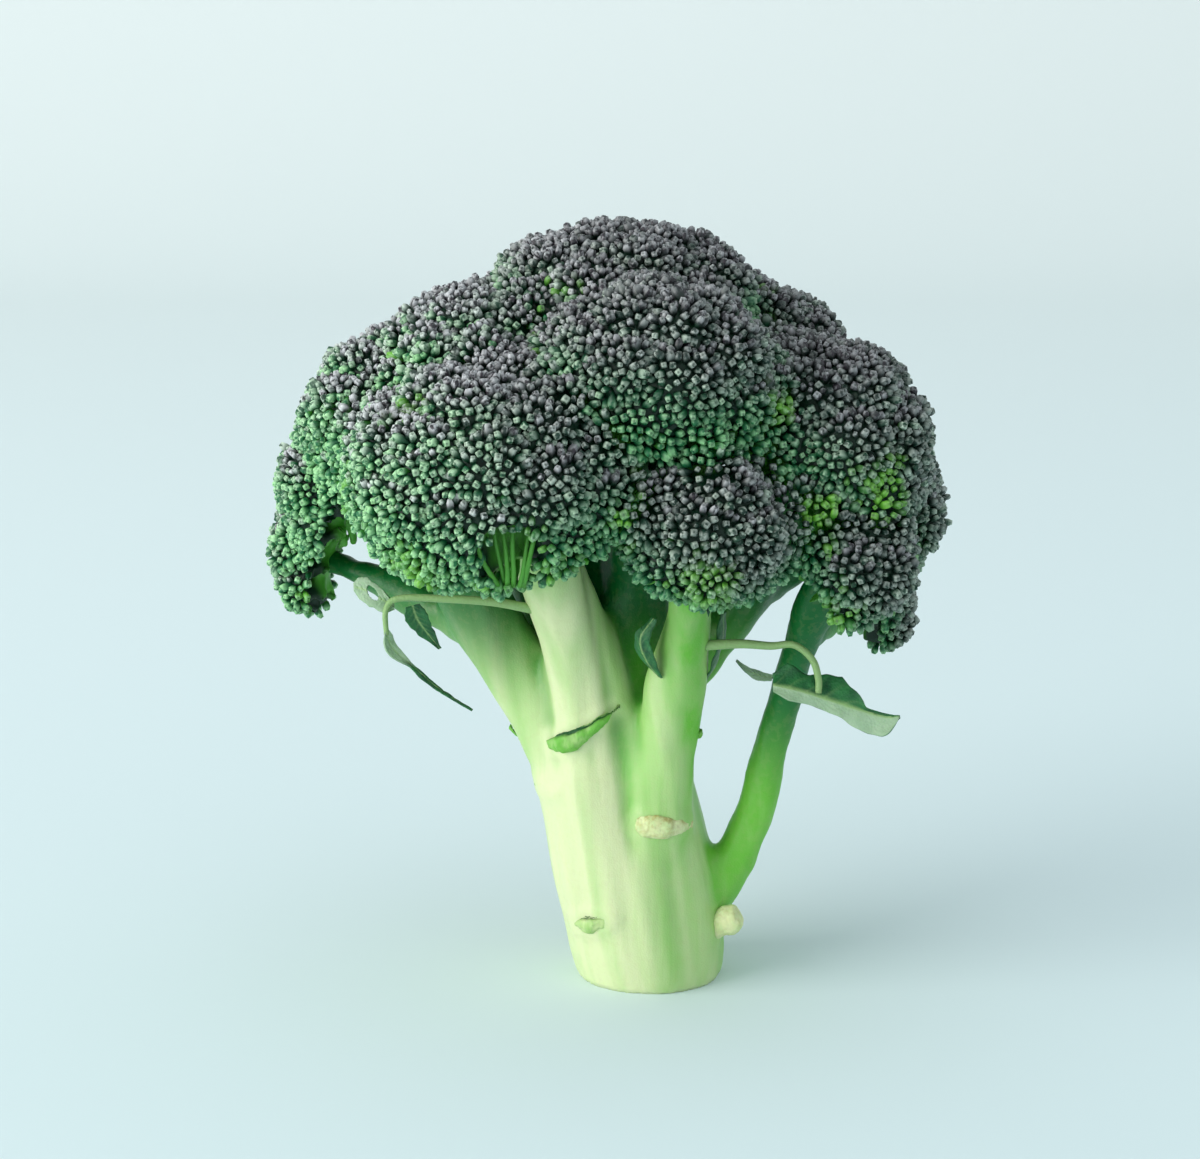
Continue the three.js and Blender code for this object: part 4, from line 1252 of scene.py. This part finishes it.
# %% Shapes of the leaves
LEAVES = {
    "leaf_right": {
        "stalk": [(0, 0.9, 0.92), (0.2, 0.86, 0.95), (0.37, 0.8, 0.93), (0.5, 0.66, 0.97), (0.6, 0.52, 0.78),
                  (0.635, 0.46, 0.5), (0.635, 0.42, 0.3)],
        "stalk_radii": [(0, 1.15), (0.4, 0.8), (1, 0.75)],
        "midrib": [(0.38, 0.5, 0.40), (0.5, 0.42, 0.35), (0.64, 0.38, 0.25), (0.8, 0.3, 0.13),
                   (1.0, 0.22, 0.0), (1.09, 0.18, 0.0)],
        "near": [(0, 1.4), (0.15, 2.8), (0.35, 2.4), (0.55, 3.0), (0.7, 4.9), (0.77, 4.7),
                 (0.88, 2.6), (1, 0.2)],
        "far": [(0, 3.0), (0.15, 6.0), (0.33, 4.4), (0.45, 6.0), (0.57, 6.6), (0.62, 4.4), (0.66, 3.6),
                (0.7, 1.0), (1, 0.2)],
        "ways": ((0.05, -0.3, -0.95), (0.0, 0.62, 0.78)),
        "ruffle": 0.9,
        "dusty_half": "near",
    },
    "leaf_left": {
        "stalk": [(1.02, 0.5, 0.90), (0.75, 0.35, 0.97), (0.42, 0.3, 1.0), (0.12, 0.4, 1.0), (0.03, 0.4, 0.9),
                  (0.03, 0.4, 0.68)],
        "stalk_radii": [(0, 1.1), (0.6, 0.75), (1, 0.55)],
        "midrib": [(0.03, 0.4, 0.72), (0.07, 0.35, 0.56), (0.22, 0.4, 0.38), (0.38, 0.5, 0.19),
                   (0.60, 0.5, 0.0)],
        "near": [(0, 0.5), (0.12, 1.5), (0.3, 1.8), (0.46, 0.7), (0.6, 0.8), (1, 0.15)],
        "far": [(0, 0.5), (0.12, 1.3), (0.3, 1.2), (0.46, 0.4), (0.6, 0.5), (1, 0.15)],
        "ways": ((-0.5, -0.6, -0.4), (0.6, 0.35, 0.4)),
        "ruffle": 0.5,
        "dusty_half": "base",
    },
    "leaflet_left": {
        "midrib": [(1.0, 0.2, 0.1), (0.66, 0.3, 0.42), (0.3, 0.6, 0.7), (0.0, 0.8, 0.8)],
        "near": [(0, 0.6), (0.25, 3.0), (0.6, 3.4), (0.85, 2.6), (1, 0.8)],
        "far": [(0, 0.6), (0.25, 2.4), (0.6, 3.0), (0.85, 2.4), (1, 0.8)],
        "ways": ((0.1, -0.4, -0.9), (-0.1, 0.4, 0.9)),
        "ruffle": 0.8,
        "hole": (0.5, 0.1, 0.13, 0.5),
    },
    "leaflet_hanging": {
        "midrib": [(0.1, 0.2, 1.0), (0.25, 0.3, 0.7), (0.55, 0.5, 0.4), (1.0, 0.8, 0.0)],
        "near": [(0, 1.6), (0.3, 2.6), (0.7, 2.0), (1, 0.2)],
        "far": [(0, 1.6), (0.3, 2.6), (0.7, 1.6), (1, 0.2)],
        "ways": ((-0.9, -0.3, -0.2), (0.9, 0.1, 0.2)),
        "ruffle": 0.6,
        "dusty_half": "none",
    },
    "leaflet_right": {
        "midrib": [(1.0, 0.5, 0.1), (0.66, 0.4, 0.2), (0.3, 0.4, 0.5), (0.0, 0.5, 0.95)],
        "near": [(0, 0.7), (0.4, 1.2), (1, 0.2)],
        "far": [(0, 0.7), (0.4, 1.1), (1, 0.2)],
        "ways": ((-0.3, -0.5, -0.8), (0.3, 0.5, 0.8)),
        "ruffle": 0.3,
    },
    "bract_left": {
        "midrib": [(0.85, 0.85, 0.0), (0.35, 0.6, 0.3), (0.15, 0.35, 0.65), (0.6, 0.0, 1.0)],
        "near": [(0, 0.6), (0.4, 2.8), (0.75, 2.2), (1, 0.8)],
        "far": [(0, 0.6), (0.4, 2.4), (0.75, 2.0), (1, 0.8)],
        "ways": ((0.75, -0.65, 0.0), (-0.5, 0.8, 0.1)),
        "ruffle": 0.5,
        "dusty_half": "none",
    },
    "bract_right": {
        "midrib": [(0.1, 0.5, 0.0), (0.6, 0.4, 0.3), (0.85, 0.35, 0.65), (0.9, 0.3, 1.0)],
        "near": [(0, 0.6), (0.4, 2.8), (0.8, 2.8), (1, 1.4)],
        "far": [(0, 0.6), (0.4, 2.6), (0.8, 2.6), (1, 1.4)],
        "ways": ((-0.35, -0.93, 0.0), (0.3, 0.93, 0.1)),
        "ruffle": 0.6,
        "dusty_half": "none",
    },
}


def in_box(name, shares):
    """Points at shares of a node's box, from its low corner."""
    low, high = (np.array(corner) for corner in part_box(name))
    return low + np.asarray(shares) * (high - low)


def make_leaf(name, shape, seed):
    """One piece from a blade and, where the leaf has one, its stalk."""
    near_way, far_way = shape["ways"]
    midrib = in_box(name, shape["midrib"])
    blade = leaf_blade(
        midrib, shape["near"], shape["far"], near_way, far_way, shape["ruffle"], shape.get("hole"), seed
    )
    corners, faces, values = blade
    dusty = {
        "near": np.where(values["side"] < 0, 1 - values["below"], values["below"]),
        "none": 0.15 * values["below"],
        "base": ease(midrib[:, 2].mean() - corners[:, 2], 0.0, -3 * MM),
    }.get(shape.get("dusty_half"), values["below"])
    rib = 0.7 * values["vein"]
    faces = halved(faces)
    if "stalk" in shape:
        path = curve_through(in_box(name, shape["stalk"]), 40)
        radii = profile(shape["stalk_radii"], np.linspace(0, 1, 40)) * MM
        stalk, stalk_sides = tube(path, radii, sides=12)
        dusty = np.concatenate([dusty, np.full(len(stalk), 0.1)])
        rib = np.concatenate([rib, np.full(len(stalk), 0.75)])
        corners, faces = joined([(corners, faces), (stalk, stalk_sides)])
    piece = make_object(f"{name}_skin", corners, faces, [leaf_finish], {"dusty": dusty, "rib": rib})
    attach(piece, "root")
    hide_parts(name)


for seed, (name, shape) in enumerate(LEAVES.items()):
    make_leaf(name, shape, seed + 1)
print("leaves:", ", ".join(LEAVES))

# %% [markdown]
# ## Where leaves were cut or torn away
#
# A trimmed leaf leaves a short stub or a torn lip across the stalk, cream inside and green outside, with
# a ragged upper edge that dries brown. Each is wrapped in a fine skin from its solid and roughened, and its
# upper lip is sunk a little. The stalk's own skin was swollen a little round them already, so they grow out
# of it.

# %% Stubs, scars and small nubs
STUB_VOXEL = 0.3 * MM
STUBS = {  # green share, painted shadow share of the upper lip, dried share
    "stub_low_right": (0.05, 0.0, 0.35),
    "stub_front_low": (0.5, 1.0, 0.1),
    "stub_front_mid": (0.9, 1.0, 0.0),
    "scar_front": (0.15, 0.0, 0.9),
    "scar_left": (0.7, 0.5, 0.0),
    "nub_left": (1.0, 0.8, 0.0),
    "nub_right": (1.0, 0.8, 0.2),
}
# The darkest stub colour is painted shadow under the lifted upper lip.
STUB_CREAM, STUB_GREEN, STUB_LIP_SHADE = (0.78, 0.82, 0.46), (0.16, 0.46, 0.06), (0.004, 0.075, 0.018)
STUB_DRIED = (0.42, 0.36, 0.12)


def make_stub_finish():
    """Cream to green, dried brown in blotches and with painted shadow at the lip, by what is painted."""
    material, tree, shader = new_finish("stub_flesh", 0.55, 0.35, 0.12, (2.0, 3.0, 1.0))
    streak = place_group(tree, fibres, {"Fineness": 1400.0, "Length": 3.0})
    plain = painted(tree, "green")
    greener = add_node(tree, "ShaderNodeMath", {0: plain, 1: scaled(tree, streak, 0.5, -0.25)})
    flesh = mixed(tree, greener.outputs[0], STUB_CREAM, STUB_GREEN)
    dried = place_group(tree, mottle, {"Scale": 800.0, "Contrast": 4.0})
    flesh = mixed(tree, product(tree, painted(tree, "dried"), dried), flesh, STUB_DRIED)
    flesh = mixed(tree, painted(tree, "lip_shade"), flesh, STUB_LIP_SHADE)
    wear(tree, shader, flesh, streak, 0.2 * MM, 0.9)
    return material


def make_stub(name, greenness, lip_shade_share, dryness, finish):
    """One piece from a solid, roughened and sunk a little at its upper lip."""
    corners, faces = skin_round([cad_mesh(name)], STUB_VOXEL)
    corners = smoothed(corners, faces, 6)
    normals = corner_normals(corners, faces)
    # The upward-facing lip is sunk a little and painted dark: painted shadow where it lifts off the stalk.
    lip = ease(normals[:, 2], 0.15, 0.6)
    coarse, fine = noise_over(corners, 2.2 * MM, seed=8), noise_over(corners, 0.8 * MM, seed=4)
    rough = (0.35 * coarse + 0.15 * fine) * MM - 0.7 * MM * lip * lip_shade_share
    corners = corners + normals * rough[:, None]
    values = {
        "green": greenness + 0.3 * coarse,
        "lip_shade": lip_shade_share * spread(lip, faces, 2),
        "dried": dryness * (0.5 + 0.5 * ease(normals[:, 2] + 0.4 * coarse, 0.0, 0.6)),
    }
    piece = make_object(f"{name}_skin", corners, faces, [finish], values)
    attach(piece, "root")
    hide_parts(name)


stub_finish = make_stub_finish()
for name, shares in STUBS.items():
    make_stub(name, *shares, stub_finish)
print("stubs:", ", ".join(STUBS))
